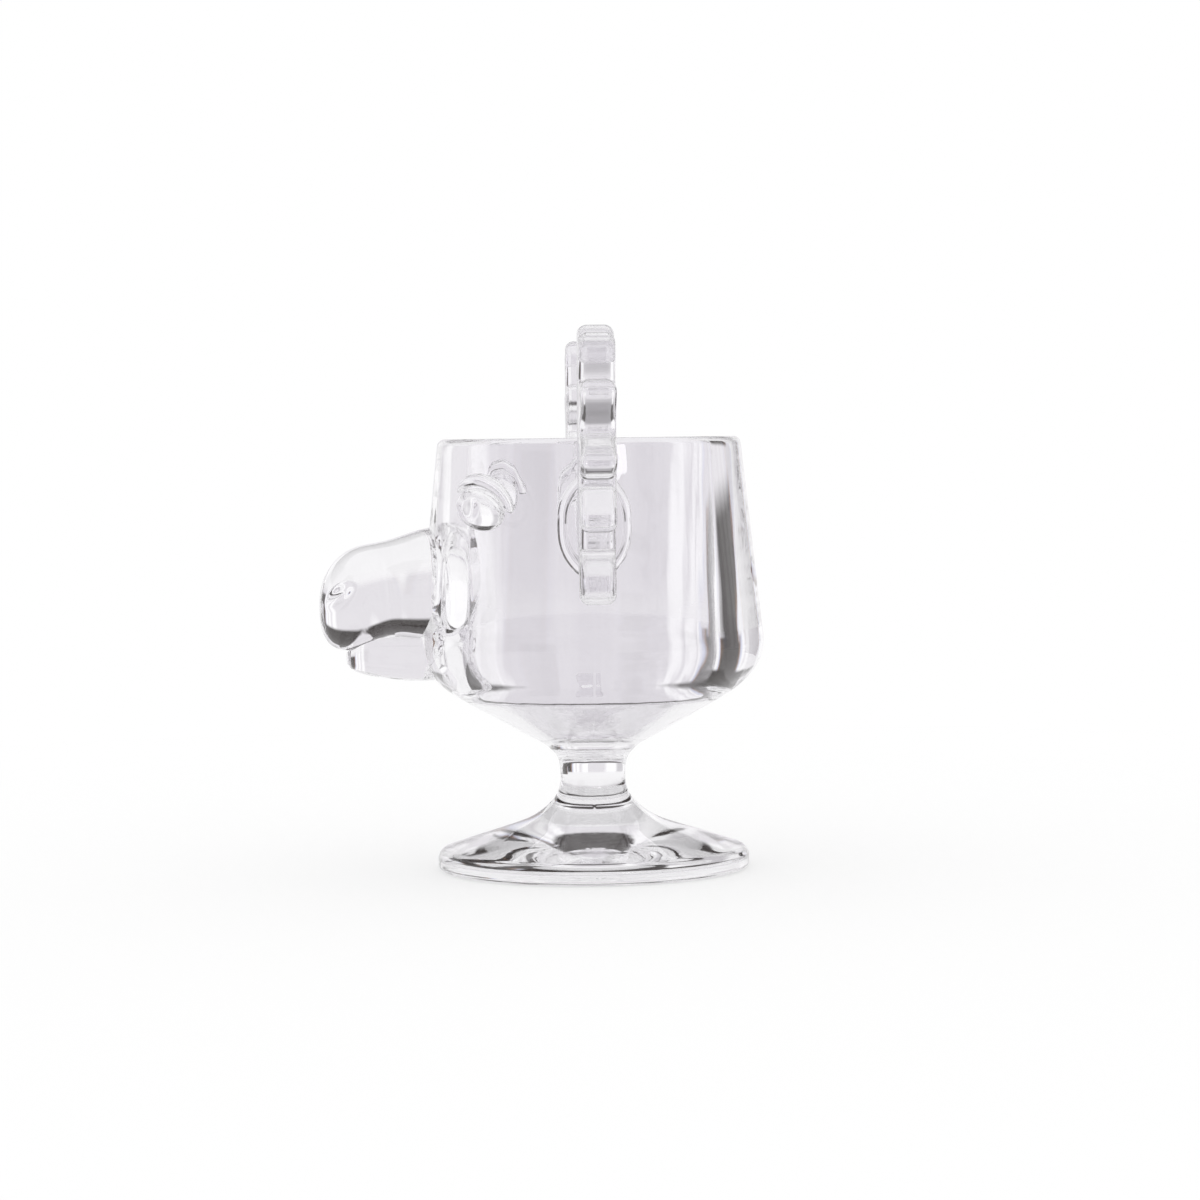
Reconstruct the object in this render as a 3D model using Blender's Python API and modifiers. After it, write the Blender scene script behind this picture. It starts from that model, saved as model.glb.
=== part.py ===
"""Footed clear-glass mug in the form of a moose's head.

The bowl, stem and foot are turned.  The muzzle, lower lip, eyes, eyelids, antler pads and antlers are
separate glass pieces, each cut to the bowl's outside and bonded to it with a thin joint.

Metres, +Z up.  The origin is the centre of the foot's flat underside.  The muzzle points to -X, and the two
antlers, which are the handles, stand out to -Y and +Y.
"""

import math

import bmesh
import bpy
from mathutils import Matrix, Vector

MM = 0.001
BOND_GAP = 0.3 * MM

# Bowl, outside: a barrel that widens downwards, a round shoulder and a conical underside
RIM_HEIGHT = 113.5 * MM
RIM_RADIUS = 39.9 * MM
RIM_ROUND = 2.0 * MM
BELLY_HEIGHT = 61.5 * MM
BELLY_RADIUS = 45.5 * MM
SHOULDER_ABOVE = 9.9 * MM
SHOULDER_BELOW = 15.0 * MM
CONE_ANGLE = math.radians(29.3)
CONE_APEX_HEIGHT = 25.5 * MM

# Bowl, cavity: wall thicknesses, and the flat in the middle of the conical floor
RIM_WALL = 7.5 * MM
BELLY_WALL = 12.5 * MM
FLOOR_WALL = 4.4 * MM
CAVITY_ROUND = 6.5 * MM
CAVITY_FLAT_RADIUS = 11.0 * MM
CAVITY_FLAT_ROUND = 7.0 * MM

# Stem: a waist between two flared ends
STEM_TOP_RADIUS = 10.7 * MM
STEM_WAIST_RADIUS = 8.7 * MM
STEM_BASE_RADIUS = 11.5 * MM
STEM_FLARE_ANGLE = math.radians(45.0)
NECK_SAG = 0.6 * MM
NECK_REACH = 6.9 * MM

# Foot: a shallow cone with a full round edge, a short upright side and a flat underside
FOOT_RADIUS = 41.3 * MM
FOOT_EDGE_ROUND = 3.2 * MM
FOOT_EDGE_STRAIGHT = 1.3 * MM
FOOT_BASE_ROUND = 1.3 * MM
FOOT_SLOPE = math.radians(17.9)
FOOT_SWELL = 2.5 * MM
FOOT_NECK_REACH = 12.0 * MM

# Antlers: flat palmate slabs in the plane X = 0, each on an oval pad
ANTLER_BELOW_RIM = 22.0 * MM
ANTLER_HEIGHT = RIM_HEIGHT - ANTLER_BELOW_RIM
PAD_WIDTH = 19.0 * MM
PAD_TALL = 27.5 * MM
PAD_STAND_OFF = 4.0 * MM
PAD_EDGE_ROUND = 1.5 * MM
ANTLER_THICKNESS = 9.1 * MM
ANTLER_EDGE_ROUND = 2.4 * MM
BEAM_ROOT_TALL = 16.5 * MM
BEAM_TALL = 11.0 * MM
BEAM_LENGTH = 8.5 * MM
PALM_OUT = 23.0 * MM
PALM_UP = 20.5 * MM
PALM_WIDTH = 15.5 * MM
PALM_TALL = 38.0 * MM
PALM_LEAN = math.radians(-8.0)
PALM_INNER_ANGLES = (math.radians(146.0), math.radians(204.0))
TINE_COUNT = 5
TINE_LENGTH = 8.5 * MM
TINE_END_LENGTH = 8.0 * MM
TINE_TIP_ROUND = 0.9 * MM
TINE_FIRST_ANGLE = math.radians(-40.0)
TINE_LAST_ANGLE = math.radians(104.0)
BROW_FOOT_OUT = 15.0 * MM
BROW_OUT = 21.0 * MM
BROW_DROP = 16.5 * MM

# Muzzle and lower lip: lofted forms that start inside the wall line and reach forward from it
MUZZLE_BELOW_RIM = 39.0 * MM
MUZZLE_HEIGHT = RIM_HEIGHT - MUZZLE_BELOW_RIM
MUZZLE_LENGTH = 27.4 * MM
MUZZLE_ROOT_DEPTH = 12.0 * MM
NOSE_LENGTH = 13.0 * MM
NOSTRIL_LENGTH = 9.5 * MM
NOSTRIL_WIDTH = 5.0 * MM
NOSTRIL_DEPTH = 3.0 * MM
NOSTRIL_BACK = 6.0 * MM
NOSTRIL_SPREAD = 13.5 * MM
NOSTRIL_RISE = 4.0 * MM
NOSTRIL_TURN = math.radians(38.0)
NOSTRIL_TILT = math.radians(-32.0)
LIP_BELOW_RIM = 58.0 * MM
LIP_HEIGHT = RIM_HEIGHT - LIP_BELOW_RIM
LIP_LENGTH = 18.5 * MM
LIP_ROOT_DEPTH = 10.0 * MM
LIP_TIP_LENGTH = 7.0 * MM
MOUTH_GAP = 0.8 * MM

# Eyes: oval domes with a round dimple, under a crescent lid
EYE_BELOW_RIM = 18.0 * MM
EYE_HEIGHT = RIM_HEIGHT - EYE_BELOW_RIM
EYE_ANGLE = math.radians(47.0)
EYE_LONG = 16.0 * MM
EYE_TALL = 10.5 * MM
EYE_DOME = 4.0 * MM
EYE_TILT = math.radians(16.0)
IRIS_RADIUS = 2.7 * MM
IRIS_DEPTH = 0.7 * MM
LID_THICKNESS = 3.6 * MM
LID_TIP_THICKNESS = 1.6 * MM
LID_SPAN = math.radians(150.0)
LID_LIFT = 0.5 * MM

# Facet counts
BOWL_STEPS = 64
STEM_STEPS = 48
ARC_POINTS = 7
RIM_POINTS = 5
EDGE_POINTS = 5
NECK_POINTS = 5
SHOULDER_POINTS = 9
RING_POINTS = 26
LOFT_RINGS = 16
LID_STEPS = 14

# Each muzzle station: share of the length, drop of the centre, half width, half height up and down
MUZZLE_STATIONS = (
    (-0.45, -0.5 * MM, 18.5 * MM, 16.5 * MM, 14.0 * MM),
    (0.00, 0.0 * MM, 17.0 * MM, 15.5 * MM, 13.5 * MM),
    (0.35, 1.0 * MM, 15.0 * MM, 13.6 * MM, 12.0 * MM),
    (0.70, 3.0 * MM, 15.8 * MM, 13.8 * MM, 13.6 * MM),
    (1.00, 5.0 * MM, 16.5 * MM, 13.5 * MM, 14.5 * MM),
)
LIP_STATIONS = (
    (-0.60, -1.0 * MM, 13.5 * MM, 8.0 * MM, 6.0 * MM),
    (0.00, 0.0 * MM, 12.5 * MM, 8.0 * MM, 5.5 * MM),
    (0.50, 0.0 * MM, 11.5 * MM, 8.0 * MM, 4.5 * MM),
    (1.00, -0.5 * MM, 10.0 * MM, 7.5 * MM, 3.5 * MM),
)
SECTION_SQUARENESS = 2.3
TIP_SQUARENESS = 2.5


def polar(angle, length):
    """A step of a given length and direction in a profile's plane."""
    return Vector((math.cos(angle), math.sin(angle))) * length


def meeting_point(a, a_direction, b, b_direction):
    """Where two lines in a profile's plane cross."""
    cross = a_direction.x * b_direction.y - a_direction.y * b_direction.x
    offset = b - a
    along = (offset.x * b_direction.y - offset.y * b_direction.x) / cross
    return a + a_direction * along


def rounded_corner(before, corner, after, radius, points=ARC_POINTS):
    """Points of the arc that rounds a corner between two straight runs."""
    to_before = (before - corner).normalized()
    to_after = (after - corner).normalized()
    half = to_before.angle(to_after) / 2
    centre = corner + (to_before + to_after).normalized() * (radius / math.sin(half))
    start = corner + to_before * (radius / math.tan(half)) - centre
    end = corner + to_after * (radius / math.tan(half)) - centre
    sweep = start.angle_signed(end)
    return [
        centre + Matrix.Rotation(-sweep * i / (points - 1), 2) @ start
        for i in range(points)
    ]


def eased(start, start_direction, end, end_direction, points=ARC_POINTS):
    """A smooth run between two points that leaves and arrives in given directions."""
    handle = (end - start).length * 0.38
    first = start + start_direction.normalized() * handle
    second = end - end_direction.normalized() * handle
    run = []
    for i in range(points):
        t = i / (points - 1)
        s = 1 - t
        run.append(start * s**3 + first * 3 * s * s * t + second * 3 * s * t * t + end * t**3)
    return run


def smooth_between(stations, share):
    """The values of a station table at any share of its length, on a smooth curve through the rows."""
    last = len(stations) - 1
    index = max(i for i in range(last) if i == 0 or stations[i][0] <= share)

    def slope(i, column):
        low = max(i - 1, 0)
        high = min(i + 1, last)
        return (stations[high][column] - stations[low][column]) / (stations[high][0] - stations[low][0])

    span = stations[index + 1][0] - stations[index][0]
    t = (share - stations[index][0]) / span
    values = []
    for column in range(1, len(stations[0])):
        a = stations[index][column]
        b = stations[index + 1][column]
        rise_a = slope(index, column) * span
        rise_b = slope(index + 1, column) * span
        values.append(
            a * (2 * t**3 - 3 * t**2 + 1)
            + rise_a * (t**3 - 2 * t**2 + t)
            + b * (3 * t**2 - 2 * t**3)
            + rise_b * (t**3 - t**2)
        )
    return values


# Profiles: x is the radius and y is the height

BARREL_UP = (Vector((RIM_RADIUS, RIM_HEIGHT)) - Vector((BELLY_RADIUS, BELLY_HEIGHT))).normalized()
BARREL_OUT = Vector((BARREL_UP.y, -BARREL_UP.x))
CONE_OUT = polar(CONE_ANGLE, 1.0)
CONE_DOWN = Vector((CONE_OUT.y, -CONE_OUT.x))
BOWL_SEAT = Vector((STEM_TOP_RADIUS, CONE_APEX_HEIGHT + STEM_TOP_RADIUS * math.tan(CONE_ANGLE) - NECK_SAG))


def shoulder_corner(offset=0.0):
    """Where the barrel's line and the underside's cone would meet, both moved out by an offset."""
    barrel = Vector((BELLY_RADIUS, BELLY_HEIGHT)) + BARREL_OUT * offset
    cone = Vector((0.0, CONE_APEX_HEIGHT)) + CONE_DOWN * offset
    return meeting_point(barrel, BARREL_UP, cone, CONE_OUT)


def shoulder_run(offset=0.0):
    """The rounded shoulder, which turns sooner at the barrel than at the cone."""
    start = shoulder_corner() + BARREL_UP * SHOULDER_ABOVE + BARREL_OUT * offset
    end = shoulder_corner() - CONE_OUT * SHOULDER_BELOW + CONE_DOWN * offset
    return eased(start, -BARREL_UP, end, -CONE_OUT, SHOULDER_POINTS)


def barrel_radius(height):
    """The barrel's outside radius at a height, on the straight flank."""
    share = (RIM_HEIGHT - height) / (RIM_HEIGHT - BELLY_HEIGHT)
    return RIM_RADIUS + (BELLY_RADIUS - RIM_RADIUS) * share


def bowl_profile():
    """From the middle of the cavity's floor, up the inside, over the rim and down the outside."""
    inner_rim = Vector((RIM_RADIUS - RIM_WALL, RIM_HEIGHT))
    inner_belly = Vector((BELLY_RADIUS - BELLY_WALL, BELLY_HEIGHT))
    outer_rim = Vector((RIM_RADIUS, RIM_HEIGHT))
    floor_apex = Vector((0.0, CONE_APEX_HEIGHT)) - CONE_DOWN * FLOOR_WALL
    floor_edge = meeting_point(floor_apex, CONE_OUT, Vector((CAVITY_FLAT_RADIUS, 0.0)), Vector((0.0, 1.0)))
    floor_middle = Vector((0.0, floor_edge.y))
    cavity_corner = meeting_point(floor_apex, CONE_OUT, inner_belly, inner_rim - inner_belly)
    neck_end = Vector((STEM_TOP_RADIUS + NECK_REACH, 0.0))
    neck_end.y = CONE_APEX_HEIGHT + neck_end.x * math.tan(CONE_ANGLE)

    profile = [floor_middle]
    profile += rounded_corner(floor_middle, floor_edge, cavity_corner, CAVITY_FLAT_ROUND, RIM_POINTS)
    profile += rounded_corner(floor_edge, cavity_corner, inner_rim, CAVITY_ROUND)
    profile += rounded_corner(inner_belly, inner_rim, outer_rim, RIM_ROUND, RIM_POINTS)
    profile += rounded_corner(inner_rim, outer_rim, shoulder_corner(), RIM_ROUND, RIM_POINTS)
    profile += shoulder_run()
    profile += eased(neck_end, -CONE_OUT, BOWL_SEAT, -polar(STEM_FLARE_ANGLE, 1.0), NECK_POINTS)
    profile.append(Vector((0.0, BOWL_SEAT.y)))
    return profile


def bowl_envelope_profile(offset):
    """The bowl's outside as a full solid, moved out by an offset, to cut the pieces that seat on it."""
    corner = shoulder_corner(offset)
    top = corner + BARREL_UP * (RIM_HEIGHT + RIM_ROUND - corner.y) / BARREL_UP.y
    run = [Vector((0.0, top.y)), top]
    run += shoulder_run(offset)
    run.append(Vector((0.0, CONE_APEX_HEIGHT - offset / math.cos(CONE_ANGLE))))
    return run


FOOT_EDGE_CENTRE = Vector((FOOT_RADIUS - FOOT_EDGE_ROUND, FOOT_BASE_ROUND + FOOT_EDGE_STRAIGHT))
FOOT_BASE_CENTRE = Vector((FOOT_RADIUS - FOOT_BASE_ROUND, FOOT_BASE_ROUND))
FOOT_TOP_EDGE = FOOT_EDGE_CENTRE + polar(math.pi / 2 - FOOT_SLOPE, FOOT_EDGE_ROUND)


def foot_top_height(radius):
    """The height of the foot's sloping top at a radius."""
    return FOOT_TOP_EDGE.y + (FOOT_TOP_EDGE.x - radius) * math.tan(FOOT_SLOPE)


FOOT_SEAT = Vector((STEM_BASE_RADIUS, foot_top_height(STEM_BASE_RADIUS) + FOOT_SWELL))


def foot_profile():
    """From the stem's seat, down the sloping top, round the edge and along the flat underside."""
    neck_end = Vector((STEM_BASE_RADIUS + FOOT_NECK_REACH, 0.0))
    neck_end.y = foot_top_height(neck_end.x)
    profile = [Vector((0.0, FOOT_SEAT.y))]
    profile += eased(FOOT_SEAT, polar(-STEM_FLARE_ANGLE, 1.0), neck_end, polar(-FOOT_SLOPE, 1.0), NECK_POINTS)
    for i in range(EDGE_POINTS):
        angle = (math.pi / 2 - FOOT_SLOPE) * (1 - i / (EDGE_POINTS - 1))
        profile.append(FOOT_EDGE_CENTRE + polar(angle, FOOT_EDGE_ROUND))
    for i in range(EDGE_POINTS):
        angle = -math.pi / 2 * i / (EDGE_POINTS - 1)
        profile.append(FOOT_BASE_CENTRE + polar(angle, FOOT_BASE_ROUND))
    profile.append(Vector((0.0, 0.0)))
    return profile


def stem_profile():
    """From the bowl's seat to the foot's seat through the waist, one joint's gap short at each end."""
    top = BOWL_SEAT - Vector((0.0, BOND_GAP))
    base = FOOT_SEAT + Vector((0.0, BOND_GAP))
    waist = Vector((STEM_WAIST_RADIUS, (top.y + base.y) / 2))
    down = Vector((0.0, -1.0))
    profile = [Vector((0.0, top.y))]
    profile += eased(top, -polar(STEM_FLARE_ANGLE, 1.0), waist, down)
    profile += eased(waist, down, base, polar(-STEM_FLARE_ANGLE, 1.0))[1:]
    profile.append(Vector((0.0, base.y)))
    return profile


# Scene and mesh helpers

for leftover in list(bpy.data.objects):
    bpy.data.objects.remove(leftover, do_unlink=True)


def new_collection(name):
    collection = bpy.data.collections.new(name)
    bpy.context.scene.collection.children.link(collection)
    return collection


MUG = new_collection("moose_mug")
CUTTERS = new_collection("cutters")
HOLDER = bpy.data.objects.new("mug_frame", None)
MUG.objects.link(HOLDER)


def clear_glass(piece, tint, roughness):
    """A piece's own clear glass."""
    material = bpy.data.materials.new(piece + "_glass")
    material.use_nodes = True
    shader = material.node_tree.nodes["Principled BSDF"]
    shader.inputs["Base Color"].default_value = (*tint, 1.0)
    shader.inputs["Roughness"].default_value = roughness
    shader.inputs["Metallic"].default_value = 0.0
    shader.inputs["IOR"].default_value = 1.5
    shader.inputs["Transmission Weight"].default_value = 1.0
    material.diffuse_color = (*tint, 0.4)
    return material


PRESSED_TINT = (0.93, 0.93, 0.95)
PRESSED_ROUGHNESS = 0.03


def add_part(name, mesh):
    """A named piece of the mug, with its own glass."""
    part = bpy.data.objects.new(name, mesh)
    MUG.objects.link(part)
    part.parent = HOLDER
    mesh.materials.clear()
    mesh.materials.append(clear_glass(name, PRESSED_TINT, PRESSED_ROUGHNESS))
    return part


def add_cutter(name, mesh):
    """A hidden helper solid, which only cuts."""
    cutter = bpy.data.objects.new(name, mesh)
    CUTTERS.objects.link(cutter)
    cutter.hide_render = True
    cutter.display_type = "WIRE"
    return cutter


def shade_round(mesh):
    mesh.shade_smooth()
    mesh.set_sharp_from_angle(angle=math.radians(35.0))


def cut(part, cutter):
    """Takes a cutter's volume out of a part."""
    modifier = part.modifiers.new("cut_" + cutter.name, "BOOLEAN")
    modifier.operation = "DIFFERENCE"
    modifier.object = cutter


def finished_mesh(name, shape):
    """A mesh from a shape under construction, which is then let go."""
    mesh = bpy.data.meshes.new(name)
    shape.to_mesh(mesh)
    shape.free()
    return mesh


def profile_mesh(name, profile):
    mesh = bpy.data.meshes.new(name)
    points = [(point.x, 0.0, point.y) for point in profile]
    mesh.from_pydata(points, [(i, i + 1) for i in range(len(points) - 1)], [])
    return mesh


def turn(target, steps):
    """Turns an object's profile round the Z axis into a solid."""
    screw = target.modifiers.new("turned", "SCREW")
    screw.axis = "Z"
    screw.steps = steps
    screw.render_steps = steps
    screw.use_merge_vertices = True
    screw.merge_threshold = 0.00001
    screw.use_smooth_shade = True
    return target


def turned_part(name, profile, steps):
    return turn(add_part(name, profile_mesh(name, profile)), steps)


def settled_mesh(source):
    """An object's evaluated shape as a plain mesh, with loose caps welded on."""
    graph = bpy.context.evaluated_depsgraph_get()
    mesh = bpy.data.meshes.new_from_object(source.evaluated_get(graph))
    mesh.transform(source.matrix_world)
    shell = bmesh.new()
    shell.from_mesh(mesh)
    bmesh.ops.remove_doubles(shell, verts=shell.verts, dist=0.00001)
    bmesh.ops.recalc_face_normals(shell, faces=shell.faces)
    shell.to_mesh(mesh)
    shell.free()
    return mesh


def settled_curve(curve):
    """A curve's data as a plain mesh; the curve is removed."""
    source = bpy.data.objects.new(curve.name, curve)
    MUG.objects.link(source)
    bpy.context.view_layer.update()
    mesh = settled_mesh(source)
    bpy.data.objects.remove(source, do_unlink=True)
    return mesh


def lofted_mesh(name, rings, tip):
    """A closed skin over a row of rings, flat at the first and drawn to a point after the last."""
    shell = bmesh.new()
    rows = [[shell.verts.new(point) for point in ring] for ring in rings]
    count = len(rows[0])
    for row, following in zip(rows, rows[1:]):
        for i in range(count):
            j = (i + 1) % count
            shell.faces.new((row[i], row[j], following[j], following[i]))
    shell.faces.new(rows[0])
    point = shell.verts.new(tip)
    for i in range(count):
        shell.faces.new((rows[-1][i], rows[-1][(i + 1) % count], point))
    bmesh.ops.recalc_face_normals(shell, faces=shell.faces)
    mesh = finished_mesh(name, shell)
    shade_round(mesh)
    return mesh


# Bowl, stem and foot

turned_part("bowl", bowl_profile(), BOWL_STEPS)
turned_part("stem", stem_profile(), STEM_STEPS)
turned_part("foot", foot_profile(), BOWL_STEPS)

envelope_mesh = profile_mesh("bowl_envelope", bowl_envelope_profile(BOND_GAP))
BOWL_ENVELOPE = turn(add_cutter("bowl_envelope", envelope_mesh), BOWL_STEPS)


# Antler pads and antlers

PAD_FACE = barrel_radius(ANTLER_HEIGHT) + PAD_STAND_OFF
PAD_ROOT = RIM_RADIUS - RIM_WALL


def smooth_loop(curve, outline):
    """Adds a closed smooth line through the points of an outline."""
    spline = curve.splines.new("BEZIER")
    spline.bezier_points.add(len(outline) - 1)
    spline.use_cyclic_u = True
    for point, place in zip(spline.bezier_points, outline):
        point.co = (*place, 0.0)
        point.handle_left_type = "AUTO"
        point.handle_right_type = "AUTO"


def pad_mesh(name, side):
    """An oval plate with a rounded outer edge, long enough to reach into the bowl's wall."""
    curve = bpy.data.curves.new(name, "CURVE")
    curve.dimensions = "2D"
    curve.fill_mode = "BOTH"
    curve.resolution_u = 4
    curve.extrude = (PAD_FACE - PAD_ROOT) / 2 - PAD_EDGE_ROUND
    curve.bevel_depth = PAD_EDGE_ROUND
    curve.bevel_resolution = 1
    half_width = PAD_WIDTH / 2 - PAD_EDGE_ROUND
    half_tall = PAD_TALL / 2 - PAD_EDGE_ROUND
    quarters = [math.pi / 4 * i for i in range(8)]
    smooth_loop(curve, [Vector((math.cos(a) * half_width, math.sin(a) * half_tall)) for a in quarters])
    mesh = settled_curve(curve)
    upright = Matrix.Rotation(math.pi / 2, 4, "X")
    place = Matrix.Translation((0.0, side * (PAD_FACE + PAD_ROOT) / 2, ANTLER_HEIGHT))
    mesh.transform(place @ upright)
    shade_round(mesh)
    return mesh


def palm_point(angle, reach):
    """A point round the antler's palm, at a reach beyond its edge."""
    across = math.cos(angle) * (PALM_WIDTH / 2 + reach)
    up = math.sin(angle) * (PALM_TALL / 2 + reach)
    return Matrix.Rotation(PALM_LEAN, 2) @ Vector((across, up)) + Vector((PALM_OUT, PALM_UP))


def tine_end(foot, tip):
    """Three points round the end of a tine that grows from a foot to a tip."""
    forward = (tip - foot).normalized() * TINE_TIP_ROUND
    sideways = Vector((forward.y, -forward.x))
    return [tip - forward + sideways, tip, tip - forward - sideways]


def antler_outline():
    """The slab's flat face, out from the pad and up from the root: beam, brow tine, palm and tines."""
    root = -2 * ANTLER_EDGE_ROUND
    root_tall = BEAM_ROOT_TALL / 2 - ANTLER_EDGE_ROUND
    beam_tall = BEAM_TALL / 2 - ANTLER_EDGE_ROUND
    outline = [Vector((root, -root_tall)), Vector((BEAM_LENGTH, -beam_tall))]
    outline += tine_end(Vector((BROW_FOOT_OUT, -beam_tall)), Vector((BROW_OUT, -BROW_DROP)))
    tine_step = (TINE_LAST_ANGLE - TINE_FIRST_ANGLE) / (TINE_COUNT - 1)
    for i in range(TINE_COUNT):
        angle = TINE_FIRST_ANGLE + tine_step * i
        middle = math.sin(math.pi * i / (TINE_COUNT - 1))
        length = TINE_END_LENGTH + (TINE_LENGTH - TINE_END_LENGTH) * middle
        outline.append(palm_point(angle - tine_step / 2, 0.0))
        outline += tine_end(palm_point(angle, 0.0), palm_point(angle, length))
    for angle in PALM_INNER_ANGLES:
        outline.append(palm_point(angle, 0.0))
    outline += [Vector((BEAM_LENGTH, beam_tall)), Vector((root, root_tall))]
    return outline


def antler_mesh(name, side):
    """A rounded slab of the antler's outline, in its place at one side of the bowl."""
    curve = bpy.data.curves.new(name, "CURVE")
    curve.dimensions = "2D"
    curve.fill_mode = "BOTH"
    curve.resolution_u = 3
    curve.extrude = ANTLER_THICKNESS / 2 - ANTLER_EDGE_ROUND
    curve.bevel_depth = ANTLER_EDGE_ROUND
    curve.bevel_resolution = 1
    smooth_loop(curve, antler_outline())
    mesh = settled_curve(curve)
    into_plane = Matrix(((0, 0, 1, 0), (1, 0, 0, 0), (0, 1, 0, 0), (0, 0, 0, 1)))
    place = Matrix.Translation((0.0, PAD_FACE, ANTLER_HEIGHT))
    mesh.transform(place @ into_plane)
    if side < 0:
        mesh.transform(Matrix.Rotation(math.pi, 4, "Z"))
    shade_round(mesh)
    return mesh


def root_cutter(side):
    """A block that trims an antler's root to its seat on the pad."""
    depth = PAD_FACE + BOND_GAP
    size = Matrix.Diagonal((2 * PAD_WIDTH, depth, 2 * PAD_TALL, 1.0))
    place = Matrix.Translation((0.0, side * depth / 2, ANTLER_HEIGHT))
    shape = bmesh.new()
    bmesh.ops.create_cube(shape, size=1.0, matrix=place @ size)
    return add_cutter("antler_root_cutter", finished_mesh("antler_root_cutter", shape))


for side, label in ((-1, "left"), (1, "right")):
    pad = add_part("antler_pad_" + label, pad_mesh("antler_pad_" + label, side))
    cut(pad, BOWL_ENVELOPE)
    antler = add_part("antler_" + label, antler_mesh("antler_" + label, side))
    cut(antler, root_cutter(side))


# Muzzle and lower lip

def snout_mesh(name, stations, height, length, tip_length, root_depth, swell=0.0):
    """A rounded form lofted forward from inside the bowl's wall, with a round tip."""
    front = barrel_radius(height)
    first = -root_depth / length
    tip_share = tip_length / length
    rings = []
    for i in range(LOFT_RINGS):
        share = first + (1 - tip_share - first) * i / (LOFT_RINGS - 1)
        rings.append((share, 1.0))
    for i in range(1, ARC_POINTS):
        angle = math.pi / 2 * i / ARC_POINTS
        forward = math.sin(angle) ** (2 / TIP_SQUARENESS)
        rings.append((1 - tip_share * (1 - forward), math.cos(angle) ** (2 / TIP_SQUARENESS)))
    skin = []
    for share, close in rings:
        drop, half_width, up, down = smooth_between(stations, share)
        ring = []
        for j in range(RING_POINTS):
            angle = 2 * math.pi * j / RING_POINTS
            across = math.copysign(abs(math.cos(angle)) ** (2 / SECTION_SQUARENESS), math.cos(angle))
            rise = math.copysign(abs(math.sin(angle)) ** (2 / SECTION_SQUARENESS), math.sin(angle))
            half_tall = up if rise > 0 else down
            ring.append(
                (
                    -(front + share * length + swell * (1 - close)),
                    across * (half_width * close + swell),
                    height - drop + rise * (half_tall * close + swell),
                )
            )
        skin.append(ring)
    tip_drop = smooth_between(stations, 1.0)[0]
    return lofted_mesh(name, skin, (-(front + length + swell), 0.0, height - tip_drop))


def muzzle_shape(name, swell=0.0):
    return snout_mesh(
        name, MUZZLE_STATIONS, MUZZLE_HEIGHT, MUZZLE_LENGTH, NOSE_LENGTH, MUZZLE_ROOT_DEPTH, swell
    )


def nostril_cutter(side):
    """A tilted oval that hollows one nostril."""
    shape = bmesh.new()
    bmesh.ops.create_uvsphere(shape, u_segments=20, v_segments=10, radius=1.0)
    size = Matrix.Diagonal((NOSTRIL_LENGTH / 2, NOSTRIL_DEPTH, NOSTRIL_WIDTH / 2, 1.0))
    tip = -(barrel_radius(MUZZLE_HEIGHT) + MUZZLE_LENGTH)
    nose_drop = smooth_between(MUZZLE_STATIONS, 1.0)[0]
    height = MUZZLE_HEIGHT - nose_drop + NOSTRIL_RISE
    place = Matrix.Translation((tip + NOSTRIL_BACK, side * NOSTRIL_SPREAD, height))
    turn_out = Matrix.Rotation(side * NOSTRIL_TURN, 4, "Z")
    tilt = Matrix.Rotation(NOSTRIL_TILT, 4, "Y")
    bmesh.ops.transform(shape, matrix=place @ turn_out @ tilt @ size, verts=shape.verts)
    return add_cutter("nostril_cutter", finished_mesh("nostril_cutter", shape))


muzzle = add_part("muzzle", muzzle_shape("muzzle"))
cut(muzzle, BOWL_ENVELOPE)
for side in (-1, 1):
    cut(muzzle, nostril_cutter(side))

lower_lip_mesh = snout_mesh(
    "lower_lip", LIP_STATIONS, LIP_HEIGHT, LIP_LENGTH, LIP_TIP_LENGTH, LIP_ROOT_DEPTH
)
lower_lip = add_part("lower_lip", lower_lip_mesh)
cut(lower_lip, BOWL_ENVELOPE)
cut(lower_lip, add_cutter("mouth_cutter", muzzle_shape("mouth_cutter", MOUTH_GAP)))


# Eyes and eyelids

def wall_frame(side):
    """A frame on the barrel's wall at an eye: x runs along the eye, y up the wall and z out of it."""
    out_tilt = math.atan2(BARREL_OUT.y, BARREL_OUT.x)
    level = Vector((-math.cos(EYE_ANGLE), side * math.sin(EYE_ANGLE), 0.0))
    out = level * math.cos(out_tilt) + Vector((0.0, 0.0, math.sin(out_tilt)))
    along = Vector((0.0, 0.0, 1.0)).cross(out).normalized()
    up = out.cross(along)
    origin = level * barrel_radius(EYE_HEIGHT) + Vector((0.0, 0.0, EYE_HEIGHT))
    frame = Matrix((along, up, out)).transposed().to_4x4()
    tilt = Matrix.Rotation(side * EYE_TILT, 4, "Z")
    return Matrix.Translation(origin) @ frame @ tilt


def eye_mesh(name, side):
    """An oval dome that starts inside the wall."""
    shape = bmesh.new()
    bmesh.ops.create_uvsphere(shape, u_segments=28, v_segments=14, radius=1.0)
    size = Matrix.Diagonal((EYE_LONG / 2, EYE_TALL / 2, EYE_DOME, 1.0))
    bmesh.ops.transform(shape, matrix=wall_frame(side) @ size, verts=shape.verts)
    mesh = finished_mesh(name, shape)
    shade_round(mesh)
    return mesh


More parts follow.
